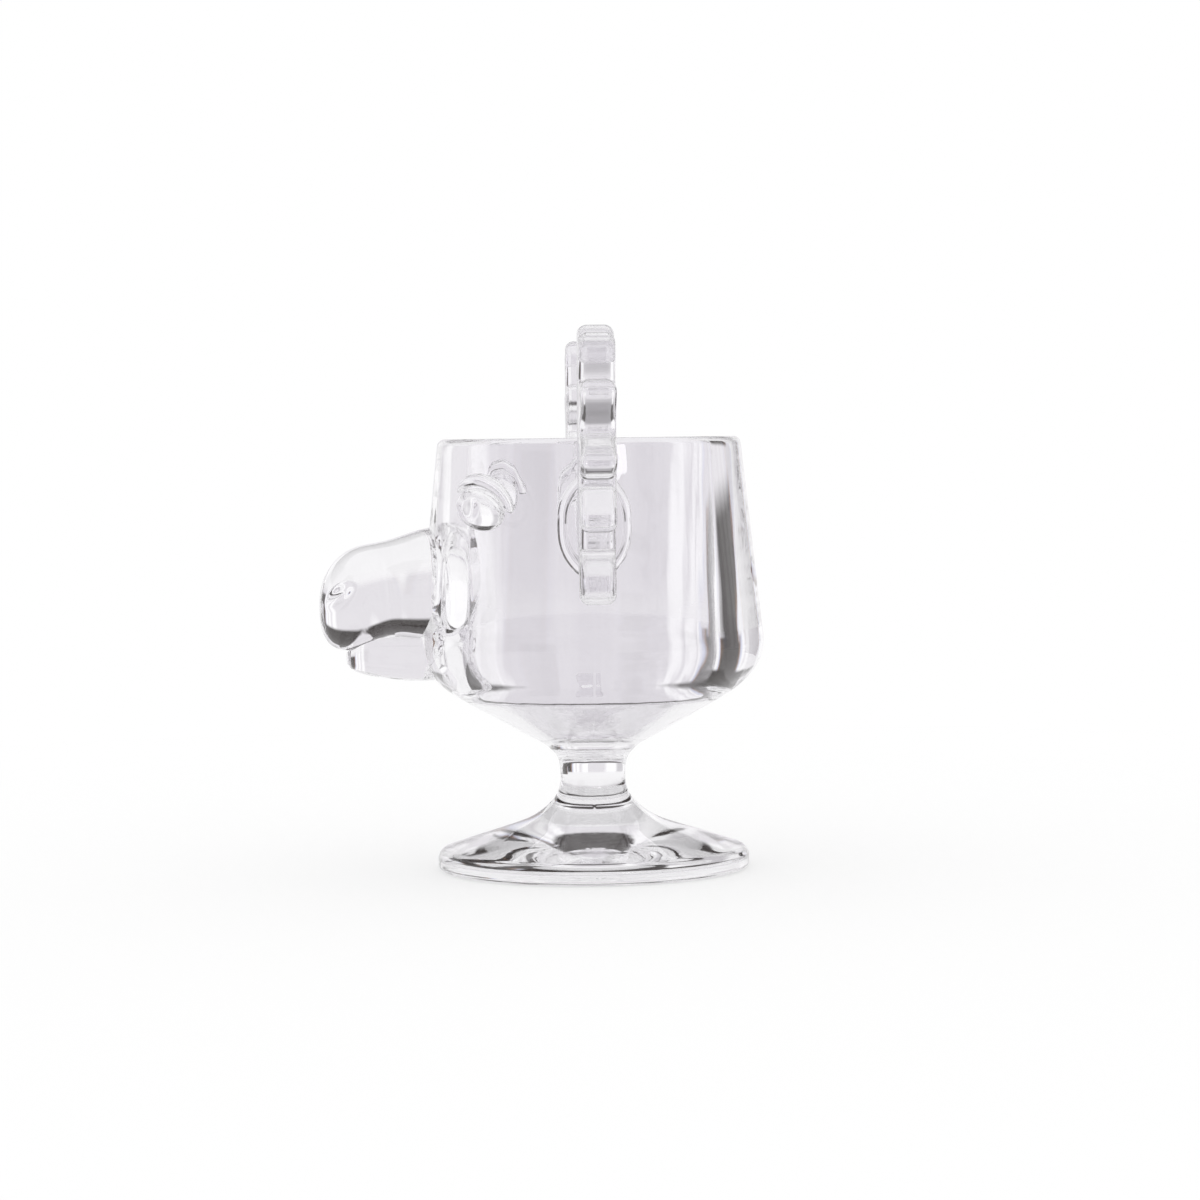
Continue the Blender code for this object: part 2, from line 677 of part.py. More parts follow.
def iris_cutter(side):
    """A ball that leaves a shallow round dimple in the dome."""
    ball = (IRIS_RADIUS**2 + IRIS_DEPTH**2) / (2 * IRIS_DEPTH)
    centre = wall_frame(side) @ Vector((0.0, 0.0, EYE_DOME - IRIS_DEPTH + ball))
    shape = bmesh.new()
    bmesh.ops.create_uvsphere(
        shape, u_segments=48, v_segments=24, radius=ball, matrix=Matrix.Translation(centre)
    )
    return add_cutter("iris_cutter", finished_mesh("iris_cutter", shape))


def lid_mesh(name, side):
    """A crescent that follows the eye's upper edge and thins towards both corners."""
    frame = wall_frame(side)
    curve = bpy.data.curves.new(name, "CURVE")
    curve.dimensions = "3D"
    curve.bevel_depth = LID_THICKNESS / 2
    curve.bevel_resolution = 2
    curve.use_fill_caps = True
    spline = curve.splines.new("POLY")
    spline.points.add(LID_STEPS)
    clear = LID_THICKNESS / 2 + BOND_GAP
    for i, point in enumerate(spline.points):
        share = i / LID_STEPS
        angle = math.pi / 2 + LID_SPAN * (share - 0.5)
        along = math.cos(angle) * (EYE_LONG / 2 + clear)
        up = math.sin(angle) * (EYE_TALL / 2 + clear)
        sag = along * along / (2 * barrel_radius(EYE_HEIGHT))
        point.co = (*(frame @ Vector((along, up, LID_LIFT - sag))), 1.0)
        taper = LID_TIP_THICKNESS / LID_THICKNESS
        point.radius = taper + (1 - taper) * math.sin(math.pi * share)
    mesh = settled_curve(curve)
    shade_round(mesh)
    return mesh


for side, label in ((-1, "left"), (1, "right")):
    eye = add_part("eye_" + label, eye_mesh("eye_" + label, side))
    cut(eye, BOWL_ENVELOPE)
    cut(eye, iris_cutter(side))
    eyelid = add_part("eyelid_" + label, lid_mesh("eyelid_" + label, side))
    cut(eyelid, BOWL_ENVELOPE)
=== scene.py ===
# %% [markdown]
# # A footed mug in clear glass, in the form of a moose's head
#
# The real mug is one lump of clear glass that was worked hot: a thick bowl on a short stem and a round
# foot, with a muzzle, a lower lip, eyes, eyelids and two flat antlers melted on to its outside. This
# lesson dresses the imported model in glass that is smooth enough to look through. Clear glass hides
# nothing, so most of the work is in true curves, in joints that don't show, and in what stands round the
# mug for the glass to bend into view.

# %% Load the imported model
import math
from contextlib import contextmanager

import bmesh
import bpy
from mathutils import Matrix, Vector


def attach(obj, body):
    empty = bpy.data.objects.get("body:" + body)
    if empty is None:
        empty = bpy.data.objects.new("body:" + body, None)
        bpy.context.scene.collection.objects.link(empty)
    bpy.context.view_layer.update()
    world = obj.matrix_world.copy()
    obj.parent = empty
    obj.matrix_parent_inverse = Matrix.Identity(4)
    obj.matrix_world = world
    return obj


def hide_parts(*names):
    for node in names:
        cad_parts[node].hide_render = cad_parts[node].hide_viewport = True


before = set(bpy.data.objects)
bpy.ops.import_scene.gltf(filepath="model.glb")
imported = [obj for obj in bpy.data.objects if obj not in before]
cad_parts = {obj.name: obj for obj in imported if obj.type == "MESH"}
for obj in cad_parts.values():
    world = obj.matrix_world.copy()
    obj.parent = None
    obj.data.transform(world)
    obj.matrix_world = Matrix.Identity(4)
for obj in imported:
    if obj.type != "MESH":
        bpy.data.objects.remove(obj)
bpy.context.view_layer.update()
print("pieces in the packed model:", ", ".join(sorted(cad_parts)))

# %% [markdown]
# ## Two small helpers
#
# Colours are easiest to read as the hex values that a paint program shows, but shaders work with linear
# light. One function turns the first into the second. One more adds a node to any tree, sets it up and
# links it, so that a tree reads as a list of what it is made of.

# %% Colour and node helpers
bpy.context.scene.view_settings.view_transform = "Standard"


def hex_colour(code):
    """An sRGB hex code as a linear colour with full alpha."""
    parts = [int(code[i:i + 2], 16) / 255 for i in (0, 2, 4)]
    return (*((c / 12.92 if c <= 0.04045 else ((c + 0.055) / 1.055) ** 2.4) for c in parts), 1.0)


def node(tree, kind, inputs=None, stops=(), **settings):
    """Adds a node. An input is a value, an output, or a node to link by its first. Stops fill a ramp."""
    made = tree.nodes.new(kind)
    for name, value in settings.items():
        setattr(made, name, value)
    for key, value in (inputs or {}).items():
        if isinstance(value, bpy.types.Node):
            value = value.outputs[0]
        if isinstance(value, bpy.types.NodeSocket):
            tree.links.new(value, made.inputs[key])
        else:
            made.inputs[key].default_value = value
    if stops:
        elements = made.color_ramp.elements
        elements.remove(elements[-1])
        elements[0].position, elements[0].color = stops[0]
        for position, colour in stops[1:]:
            elements.new(position).color = colour
    return made


print("mid grey 808080 in linear light:", round(hex_colour("808080")[0], 3))

# %% [markdown]
# ## Clear glass
#
# The whole mug is soda-lime glass, the common glass of tumblers and jars. Its surface was pressed in a
# mould and then flamed until it shone, which leaves it a little wavy and never quite even in gloss. Glass
# could be made from separate refraction and gloss shaders, but the Principled shader has both with the
# right share of each, and it travels well to other programs. Each finish below differs only in how wavy
# and how smooth its surface is. The waves are wide and very shallow, and the faint grey-lavender colour
# is what the thick glass takes from the light at each surface.

# %% Glass finishes
MM = 0.001
GLASS_IOR = 1.52
CLEAR = hex_colour("F8F7F9")
CLOUDY = hex_colour("F5F4F6")
HAZE_DETAIL = 2.0
WAVE_DETAIL = 1.5
# The gloss goes from smooth to dull between these values of the drift
GLOSS_DRIFT = {"From Min": 0.35, "From Max": 0.75}


def glass_finish(name, wave_width, wave_depth, gloss, haze_width, stretch=1.0):
    """Clear glass with shallow waves, uneven gloss and a colour that drifts a little. Sizes are in mm."""
    material = bpy.data.materials.new(name)
    material.use_nodes = True
    tree = material.node_tree
    shader = tree.nodes["Principled BSDF"]
    shader.inputs["IOR"].default_value = GLASS_IOR
    shader.inputs["Transmission Weight"].default_value = 1.0
    place = node(tree, "ShaderNodeTexCoord").outputs["Object"]
    drawn = node(tree, "ShaderNodeMapping", {"Vector": place, "Scale": (1.0, 1.0, stretch)})
    haze = {"Vector": drawn, "Scale": 1 / (haze_width * MM), "Detail": HAZE_DETAIL}
    drift = node(tree, "ShaderNodeTexNoise", haze).outputs["Fac"]
    tint = node(tree, "ShaderNodeMix", {0: drift, 6: CLEAR, 7: CLOUDY}, data_type="RGBA")
    spread = {"Value": drift, **GLOSS_DRIFT, "To Min": gloss[0], "To Max": gloss[1]}
    uneven = node(tree, "ShaderNodeMapRange", spread)
    swell = {"Vector": drawn, "Scale": 1 / (wave_width * MM), "Detail": WAVE_DETAIL}
    waves = node(tree, "ShaderNodeTexNoise", swell).outputs["Fac"]
    bump = node(tree, "ShaderNodeBump", {"Height": waves, "Distance": wave_depth * MM})
    tree.links.new(tint.outputs[2], shader.inputs["Base Color"])
    tree.links.new(uneven.outputs["Result"], shader.inputs["Roughness"])
    tree.links.new(bump.outputs["Normal"], shader.inputs["Normal"])
    print(name, "waves of", wave_width, "mm,", wave_depth, "mm deep")
    return material


# Flamed outside of the bowl, stem and foot: bright and nearly even, with slow waves
FLAMED = glass_finish(
    "flamed_soda_lime_glass",
    wave_width=9.0, wave_depth=0.02, gloss=(0.0, 0.012), haze_width=26.0, stretch=0.35,
)
# Inside of the bowl, where the plunger drew the hot glass up: faint upright lines
PLUNGED = glass_finish(
    "plunger_drawn_glass",
    wave_width=3.2, wave_depth=0.02, gloss=(0.0, 0.016), haze_width=14.0, stretch=0.06,
)
# Rim, melted round in a hot flame, and touched by every drink since: a little softer in its gloss
FIRED = glass_finish(
    "fire_rounded_rim_glass",
    wave_width=4.0, wave_depth=0.02, gloss=(0.03, 0.09), haze_width=9.0,
)
# Muzzle, lip, eyes, lids and pads: gathers of hot glass pressed on by hand, wavier than the bowl
APPLIED = glass_finish(
    "hand_applied_glass",
    wave_width=6.0, wave_depth=0.03, gloss=(0.0, 0.015), haze_width=12.0,
)
# Antlers: flat slabs pressed in a mould, with the mould's fine unevenness left on the faces
SLAB = glass_finish(
    "mould_pressed_slab_glass",
    wave_width=1.8, wave_depth=0.03, gloss=(0.1, 0.16), haze_width=10.0, stretch=0.06,
)
# Underside of the foot: ground flat and polished, then dulled a little by tables
WORN = glass_finish(
    "ground_and_worn_glass",
    wave_width=4.0, wave_depth=0.01, gloss=(0.01, 0.09), haze_width=7.0,
)

# %% [markdown]
# ## Joints that don't show
#
# On the real mug the pieces are melted together, so there is no surface between them. Here they stay
# separate pieces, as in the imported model. One way to hide the joints is to merge everything into one
# mesh, but then the pieces would lose their names. So the two faces of each joint touch, and both get a
# finish that lets light straight through.

# %% Joint finish
WHITE = hex_colour("FFFFFF")
JOINT = bpy.data.materials.new("melted_joint")
JOINT.use_nodes = True
JOINT.node_tree.nodes.clear()
# No colour and no bend: the light inside the glass goes on as if nothing were there
through = node(JOINT.node_tree, "ShaderNodeBsdfTransparent", {"Color": WHITE})
node(JOINT.node_tree, "ShaderNodeOutputMaterial", {"Surface": through})
print("joint finish:", JOINT.name)

# %% [markdown]
# ## Lines to turn the bowl, stem and foot from
#
# A turned piece is a line swung round an axis. The lines come from the mug's own sizes: straight runs,
# with rounded corners and eased necks between them. They could be drawn by hand as curves, but computed
# points stay exact, and they can be set as close together as a smooth reflection needs.

# %% Sizes of the turned pieces
RIM_HEIGHT = 113.5 * MM
RIM_RADIUS = 39.9 * MM
RIM_ROUND = 2.0 * MM
BELLY_HEIGHT = 61.5 * MM
BELLY_RADIUS = 45.5 * MM
SHOULDER_ABOVE = 9.9 * MM
SHOULDER_BELOW = 15.0 * MM
CONE_ANGLE = math.radians(29.3)
CONE_APEX_HEIGHT = 25.5 * MM
RIM_WALL = 7.5 * MM
BELLY_WALL = 12.5 * MM
FLOOR_WALL = 4.4 * MM
CAVITY_ROUND = 6.5 * MM
CAVITY_FLAT_RADIUS = 11.0 * MM
CAVITY_FLAT_ROUND = 7.0 * MM
STEM_TOP_RADIUS = 10.7 * MM
STEM_WAIST_RADIUS = 8.7 * MM
STEM_BASE_RADIUS = 11.5 * MM
STEM_FLARE_ANGLE = math.radians(45.0)
NECK_SAG = 0.6 * MM
NECK_REACH = 6.9 * MM
FOOT_RADIUS = 41.3 * MM
FOOT_EDGE_ROUND = 3.2 * MM
FOOT_EDGE_STRAIGHT = 1.3 * MM
FOOT_BASE_ROUND = 1.3 * MM
FOOT_SLOPE = math.radians(17.9)
FOOT_SWELL = 2.5 * MM
FOOT_NECK_REACH = 12.0 * MM
print("bowl", round(2 * BELLY_RADIUS / MM, 1), "mm across, rim", round(RIM_HEIGHT / MM, 1), "mm up")

# %% [markdown]
# ### Corners and eased runs
#
# Hot glass has no sharp corners. A corner between two straight runs becomes an arc, and where a run flows
# into another, as at the neck of the stem, a cubic curve leaves one in its own direction and meets the
# other in its.

# %% Corners and eased runs
CORNER_POINTS = 14
EASE_POINTS = 20
# How far the handles of an eased run reach, as a share of its length
EASE_REACH = 0.38


def polar(angle, length=1.0):
    """A step of a given direction and length in a profile's plane."""
    return Vector((math.cos(angle), math.sin(angle))) * length


def arc(centre, start, end, radius, points):
    """Points of an arc between two angles."""
    shares = [i / (points - 1) for i in range(points)]
    return [centre + polar(start * (1 - share) + end * share, radius) for share in shares]


def meeting_point(a, a_direction, b, b_direction):
    """Where two lines in a profile's plane cross."""
    cross = a_direction.x * b_direction.y - a_direction.y * b_direction.x
    offset = b - a
    return a + a_direction * ((offset.x * b_direction.y - offset.y * b_direction.x) / cross)


def rounded_corner(before, corner, after, radius):
    """Points of the arc that rounds a corner between two straight runs."""
    to_before = (before - corner).normalized()
    to_after = (after - corner).normalized()
    half = to_before.angle(to_after) / 2
    centre = corner + (to_before + to_after).normalized() * (radius / math.sin(half))
    start = corner + to_before * (radius / math.tan(half)) - centre
    end = corner + to_after * (radius / math.tan(half)) - centre
    sweep = start.angle_signed(end)
    last = CORNER_POINTS - 1
    return [centre + Matrix.Rotation(-sweep * i / last, 2) @ start for i in range(CORNER_POINTS)]


def eased(start, start_direction, end, end_direction, points=EASE_POINTS):
    """A smooth run between two points that leaves and arrives in given directions."""
    handle = (end - start).length * EASE_REACH
    first = start + start_direction.normalized() * handle
    second = end - end_direction.normalized() * handle
    run = []
    for i in range(points):
        t = i / (points - 1)
        s = 1 - t
        run.append(start * s**3 + first * 3 * s * s * t + second * 3 * s * t * t + end * t**3)
    return run


print("an eased run has", EASE_POINTS, "points, a corner", CORNER_POINTS)

# %% [markdown]
# ### Slopes and seats
#
# The barrel, the cone under it and the foot's top are straight slopes. The stem sits between two seats:
# one where the cone's neck ends, the other on top of the foot's swell. Working these places out once
# keeps the three lines in step with each other.

# %% Slopes and seats
SHOULDER_POINTS = 40
BARREL_UP = (Vector((RIM_RADIUS, RIM_HEIGHT)) - Vector((BELLY_RADIUS, BELLY_HEIGHT))).normalized()
BARREL_OUT = Vector((BARREL_UP.y, -BARREL_UP.x))
CONE_OUT = polar(CONE_ANGLE)
CONE_DOWN = Vector((CONE_OUT.y, -CONE_OUT.x))
CONE_APEX = Vector((0.0, CONE_APEX_HEIGHT))
FOOT_EDGE_CENTRE = Vector((FOOT_RADIUS - FOOT_EDGE_ROUND, FOOT_BASE_ROUND + FOOT_EDGE_STRAIGHT))
FOOT_BASE_CENTRE = Vector((FOOT_RADIUS - FOOT_BASE_ROUND, FOOT_BASE_ROUND))
FOOT_TOP_EDGE = FOOT_EDGE_CENTRE + polar(math.pi / 2 - FOOT_SLOPE, FOOT_EDGE_ROUND)


def cone_height(radius):
    """The height of the bowl's conical underside at a radius."""
    return CONE_APEX_HEIGHT + radius * math.tan(CONE_ANGLE)


def foot_top_height(radius):
    """The height of the foot's sloping top at a radius."""
    return FOOT_TOP_EDGE.y + (FOOT_TOP_EDGE.x - radius) * math.tan(FOOT_SLOPE)


def barrel_radius(height):
    """The barrel's outside radius at a height, on the straight flank."""
    share = (RIM_HEIGHT - height) / (RIM_HEIGHT - BELLY_HEIGHT)
    return RIM_RADIUS + (BELLY_RADIUS - RIM_RADIUS) * share


def shoulder_run(offset=0.0):
    """The rounded shoulder, from the barrel down to the cone, moved out by an offset."""
    corner = meeting_point(Vector((BELLY_RADIUS, BELLY_HEIGHT)), BARREL_UP, CONE_APEX, CONE_OUT)
    start = corner + BARREL_UP * SHOULDER_ABOVE + BARREL_OUT * offset
    end = corner - CONE_OUT * SHOULDER_BELOW + CONE_DOWN * offset
    return eased(start, -BARREL_UP, end, -CONE_OUT, SHOULDER_POINTS)


BOWL_SEAT = Vector((STEM_TOP_RADIUS, cone_height(STEM_TOP_RADIUS) - NECK_SAG))
FOOT_SEAT = Vector((STEM_BASE_RADIUS, foot_top_height(STEM_BASE_RADIUS) + FOOT_SWELL))
print("stem from", round(FOOT_SEAT.y / MM, 2), "to", round(BOWL_SEAT.y / MM, 2), "mm above the table")

# %% [markdown]
# ### The three lines
#
# Each line starts and ends on the axis, so that the turned piece is closed. Every point also says what
# the surface after it is: inside, rim, outside, joint or underside. That way one turn can carry all the
# finishes.

# %% The bowl's, stem's and foot's lines
INSIDE, RIM, OUTSIDE, JOINED, UNDERSIDE = range(5)
LINE_STEP = 2.0 * MM
FOOT_EDGE_POINTS = 20
FOOT_BASE_POINTS = 14


def spaced(run, zone):
    """A run of points with none further apart than a step, each with the zone of the surface after it."""
    points = [run[0]]
    for target in run[1:]:
        start = points[-1]
        count = max(1, math.ceil((target - start).length / LINE_STEP))
        points += [start.lerp(target, i / count) for i in range(1, count + 1)]
    return [(point, zone) for point in points]


def on_axis(height):
    """A point on the axis that starts or ends a joint's flat face."""
    return Vector((0.0, height)), JOINED


def bowl_line():
    """From the middle of the cavity's floor, up the inside, over the rim, and down to the seat."""
    inner_rim = Vector((RIM_RADIUS - RIM_WALL, RIM_HEIGHT))
    inner_belly = Vector((BELLY_RADIUS - BELLY_WALL, BELLY_HEIGHT))
    outer_rim = Vector((RIM_RADIUS, RIM_HEIGHT))
    floor_apex = CONE_APEX - CONE_DOWN * FLOOR_WALL
    upright = Vector((0.0, 1.0))
    floor_edge = meeting_point(floor_apex, CONE_OUT, Vector((CAVITY_FLAT_RADIUS, 0.0)), upright)
    floor_middle = Vector((0.0, floor_edge.y))
    cavity_corner = meeting_point(floor_apex, CONE_OUT, inner_belly, inner_rim - inner_belly)
    neck_end = Vector((STEM_TOP_RADIUS + NECK_REACH, 0.0))
    neck_end.y = cone_height(neck_end.x)
    inside = [floor_middle]
    inside += rounded_corner(floor_middle, floor_edge, cavity_corner, CAVITY_FLAT_ROUND)
    inside += rounded_corner(floor_edge, cavity_corner, inner_rim, CAVITY_ROUND)
    rim = rounded_corner(inner_belly, inner_rim, outer_rim, RIM_ROUND)
    rim += rounded_corner(inner_rim, outer_rim, shoulder_run()[0], RIM_ROUND)
    outside = rim[-1:] + shoulder_run()
    outside += eased(neck_end, -CONE_OUT, BOWL_SEAT, -polar(STEM_FLARE_ANGLE))
    line = spaced(inside + rim[:1], INSIDE)[:-1] + spaced(rim, RIM)[:-1]
    return line + spaced(outside, OUTSIDE)[:-1] + [(BOWL_SEAT, JOINED), on_axis(BOWL_SEAT.y)]


def stem_line():
    """From the bowl's seat to the foot's seat, through the waist."""
    waist = Vector((STEM_WAIST_RADIUS, (BOWL_SEAT.y + FOOT_SEAT.y) / 2))
    down = Vector((0.0, -1.0))
    flank = eased(BOWL_SEAT, -polar(STEM_FLARE_ANGLE), waist, down)
    flank += eased(waist, down, FOOT_SEAT, polar(-STEM_FLARE_ANGLE))[1:]
    line = [on_axis(BOWL_SEAT.y)] + spaced(flank, OUTSIDE)[:-1]
    return line + [(FOOT_SEAT, JOINED), on_axis(FOOT_SEAT.y)]


def foot_line():
    """From the stem's seat, down the sloping top, round the edge and along the flat underside."""
    neck_end = Vector((STEM_BASE_RADIUS + FOOT_NECK_REACH, 0.0))
    neck_end.y = foot_top_height(neck_end.x)
    top = eased(FOOT_SEAT, polar(-STEM_FLARE_ANGLE), neck_end, polar(-FOOT_SLOPE))
    edge = arc(FOOT_EDGE_CENTRE, math.pi / 2 - FOOT_SLOPE, 0.0, FOOT_EDGE_ROUND, FOOT_EDGE_POINTS)
    edge += arc(FOOT_BASE_CENTRE, 0.0, -math.pi / 2, FOOT_BASE_ROUND, FOOT_BASE_POINTS)
    line = [on_axis(FOOT_SEAT.y)] + spaced(top + edge, OUTSIDE)[:-1]
    return line + spaced([edge[-1], Vector((0.0, 0.0))], UNDERSIDE)


LINES = {"bowl": bowl_line(), "stem": stem_line(), "foot": foot_line()}
print("points per line:", {name: len(line) for name, line in LINES.items()})

# %% [markdown]
# ## A Geometry Nodes lathe
#
# Blender has a Screw modifier and a Spin tool for turned shapes. A Geometry Nodes tree does the same with
# a flat grid: one direction of the grid becomes the turn, the other follows the line. The tree can then
# do what a screw can't, such as to ripple the glass. It takes the line as loose points that carry their
# values.

# %% Grid and line of the lathe
MATH = "ShaderNodeMath"
VECTOR_MATH = "ShaderNodeVectorMath"
NAMED = "GeometryNodeInputNamedAttribute"
LATHE = bpy.data.node_groups.new("glass_lathe", "GeometryNodeTree")
LATHE.interface.new_socket("Line", in_out="INPUT", socket_type="NodeSocketGeometry")
STEPS_SOCKET = LATHE.interface.new_socket("Steps", in_out="INPUT", socket_type="NodeSocketInt").identifier
LATHE.interface.new_socket("Glass", in_out="OUTPUT", socket_type="NodeSocketGeometry")
given = node(LATHE, "NodeGroupInput").outputs
size = node(LATHE, "GeometryNodeAttributeDomainSize", {"Geometry": given["Line"]}, component="MESH")
count = size.outputs["Point Count"]
columns = node(LATHE, MATH, {0: given["Steps"], 1: 1.0}, operation="ADD")
grid = node(LATHE, "GeometryNodeMeshGrid", {"Vertices X": columns, "Vertices Y": count})
flat = node(LATHE, "ShaderNodeSeparateXYZ", {0: node(LATHE, "GeometryNodeInputPosition")}).outputs

# Where each grid point falls on the line
last = node(LATHE, MATH, {0: count, 1: 1.0}, operation="SUBTRACT")
upwards = node(LATHE, MATH, {0: flat["Y"], 1: 0.5}, operation="ADD")
along = node(LATHE, MATH, {0: upwards, 1: last}, operation="MULTIPLY")
row = node(LATHE, "FunctionNodeFloatToInt", {0: along}, rounding_mode="ROUND")
segment = node(LATHE, "FunctionNodeFloatToInt", {0: along}, rounding_mode="FLOOR")


def on_line(name, kind, index):
    """A value that one of the line's points carries."""
    field = node(LATHE, NAMED, {"Name": name}, data_type=kind)
    wanted = {"Geometry": given["Line"], "Value": field, "Index": index}
    return node(LATHE, "GeometryNodeSampleIndex", wanted, data_type=kind)


radius = on_line("radius", "FLOAT", row)
height = on_line("height", "FLOAT", row)
zoning = {"Geometry": grid, "Name": "zone", "Value": on_line("zone", "INT", segment)}
zoned = node(LATHE, "GeometryNodeStoreNamedAttribute", zoning, data_type="INT", domain="FACE")
print("lathe tree so far:", len(LATHE.nodes), "nodes")

# %% [markdown]
# ### Ripples and a mould seam
#
# Drawn glass keeps faint upright ripples, and where the two halves of the mould met, in line with the
# antlers, there is a fine raised seam. A texture could only fake how these bend the view through the
# wall, so they are part of the shape. The turn's steps lie closer near the seam, where the detail is.

# %% Ripples and seam of the lathe
# How far the steps lean towards the seam
SEAM_LEAN = 0.3
RIPPLE_DEPTH = 0.15 * MM
RIPPLE_CELL = (4.0 * MM, 4.0 * MM, 70.0 * MM)
RIPPLE_DETAIL = 2.0
SEAM_HEIGHT = 0.1 * MM
SEAM_WIDTH = 0.35 * MM

# The turn, with closer steps at the mould seam, a quarter turn from the front
turn = node(LATHE, MATH, {0: flat["X"], 1: 2 * math.pi}, operation="MULTIPLY")
twice = node(LATHE, MATH, {0: turn, 1: 2.0}, operation="MULTIPLY")
lean = node(LATHE, MATH, {0: twice}, operation="SINE")
angle = node(LATHE, MATH, {0: lean, 1: SEAM_LEAN, 2: turn}, operation="MULTIPLY_ADD")
cosine = node(LATHE, MATH, {0: angle}, operation="COSINE")
sine = node(LATHE, MATH, {0: angle}, operation="SINE")
heading = node(LATHE, "ShaderNodeCombineXYZ", {0: cosine, 1: sine})

# Ripples go inwards only, so that no surface leaves the mug's outline
around = node(LATHE, VECTOR_MATH, {0: heading, "Scale": radius}, operation="SCALE")
lifted = node(LATHE, "ShaderNodeCombineXYZ", {2: height})
spot = node(LATHE, VECTOR_MATH, {0: around, 1: lifted}, operation="ADD")
drawn = node(LATHE, VECTOR_MATH, {0: spot, 1: RIPPLE_CELL}, operation="DIVIDE")
noise = {"Vector": drawn, "Scale": 1.0, "Detail": RIPPLE_DETAIL}
waves = node(LATHE, "ShaderNodeTexNoise", noise).outputs["Fac"]
ripple = node(LATHE, MATH, {0: waves, 1: RIPPLE_DEPTH}, operation="MULTIPLY")
ripple = node(LATHE, MATH, {0: ripple, 1: on_line("ripple", "FLOAT", row)}, operation="MULTIPLY")

# The seam is a small bell across the places where the cosine is zero
across = node(LATHE, MATH, {0: radius, 1: cosine}, operation="MULTIPLY")
across = node(LATHE, MATH, {0: across, 1: SEAM_WIDTH}, operation="DIVIDE")
across = node(LATHE, MATH, {0: across, 1: across}, operation="MULTIPLY")
across = node(LATHE, MATH, {0: math.exp(-1), 1: across}, operation="POWER")
seam = node(LATHE, MATH, {0: across, 1: SEAM_HEIGHT}, operation="MULTIPLY")
seam = node(LATHE, MATH, {0: seam, 1: on_line("seam", "FLOAT", row)}, operation="MULTIPLY")
reach = node(LATHE, MATH, {0: radius, 1: ripple}, operation="SUBTRACT")
reach = node(LATHE, MATH, {0: reach, 1: seam}, operation="ADD")
print("ripples", round(RIPPLE_DEPTH / MM, 2), "mm deep, seam", round(SEAM_HEIGHT / MM, 2), "mm high")

# %% [markdown]
# ### Closing the turn
#
# The grid's first and last columns meet, and the rows on the axis shrink to a point. Merging points that
# coincide closes the shape there. Then each zone of the surface gets its finish.

# %% Finishes of the lathe
MERGE_DISTANCE = 0.001 * MM
out = node(LATHE, VECTOR_MATH, {0: heading, "Scale": reach}, operation="SCALE")
place = node(LATHE, VECTOR_MATH, {0: out, 1: lifted}, operation="ADD")
turned = node(LATHE, "GeometryNodeSetPosition", {"Geometry": zoned, "Position": place})
closed = node(LATHE, "GeometryNodeMergeByDistance", {"Geometry": turned, "Distance": MERGE_DISTANCE})
shape = node(LATHE, "GeometryNodeSetShadeSmooth", {"Geometry": closed})
zone_here = node(LATHE, NAMED, {"Name": "zone"}, data_type="INT")
ZONE_FINISHES = {INSIDE: PLUNGED, RIM: FIRED, OUTSIDE: FLAMED, JOINED: JOINT, UNDERSIDE: WORN}
for zone, finish in ZONE_FINISHES.items():
    chosen = node(LATHE, "FunctionNodeCompare", {2: zone_here, 3: zone}, data_type="INT", operation="EQUAL")
    dressed = {"Geometry": shape, "Selection": chosen, "Material": finish}
    shape = node(LATHE, "GeometryNodeSetMaterial", dressed)
node(LATHE, "NodeGroupOutput", {0: shape})
print("lathe tree:", len(LATHE.nodes), "nodes")

# %% [markdown]
# ## Turning the bowl, stem and foot
#
# Each line becomes a mesh of loose points with its radius, height and zone, and the lathe turns it. The
# result is kept as a plain mesh, because the bowl is cut later where pieces are melted on. The flamed
# outside has half the ripples of the inside. The joints, the axis and the flat underside have none.

# %% Turn the bowl, stem and foot
PIECES = {}
TURN_STEPS = {"bowl": 320, "stem": 160, "foot": 288}
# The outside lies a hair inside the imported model's outline
SKIN = 0.04 * MM
AXIS_CLEAR = 2.0 * MM
OUTSIDE_RIPPLE = 0.5
SHARP_CORNER = math.radians(38.0)


def placed(name, data):
    """An object in the scene, at the origin."""
    made = bpy.data.objects.new(name, data)
    bpy.context.scene.collection.objects.link(made)
    return made


def add_piece(name, mesh):
    """A named piece of the mug, with its place in its mesh."""
    PIECES[name] = placed(name + "_glass", mesh)
    return PIECES[name]


def settled(source):
    """An object's evaluated shape as a plain mesh."""
    graph = bpy.context.evaluated_depsgraph_get()
    return bpy.data.meshes.new_from_object(source.evaluated_get(graph))


@contextmanager
def reshaped(mesh):
    """A mesh that is open for editing, and written back at the end."""
    shell = bmesh.new()
    shell.from_mesh(mesh)
    yield shell
    shell.to_mesh(mesh)
    shell.free()


def tidy_shell(mesh):
    """Turns all faces outwards, and keeps only the real corners sharp."""
    with reshaped(mesh) as shell:
        bmesh.ops.recalc_face_normals(shell, faces=shell.faces)
    mesh.shade_smooth()
    mesh.set_sharp_from_angle(angle=SHARP_CORNER)


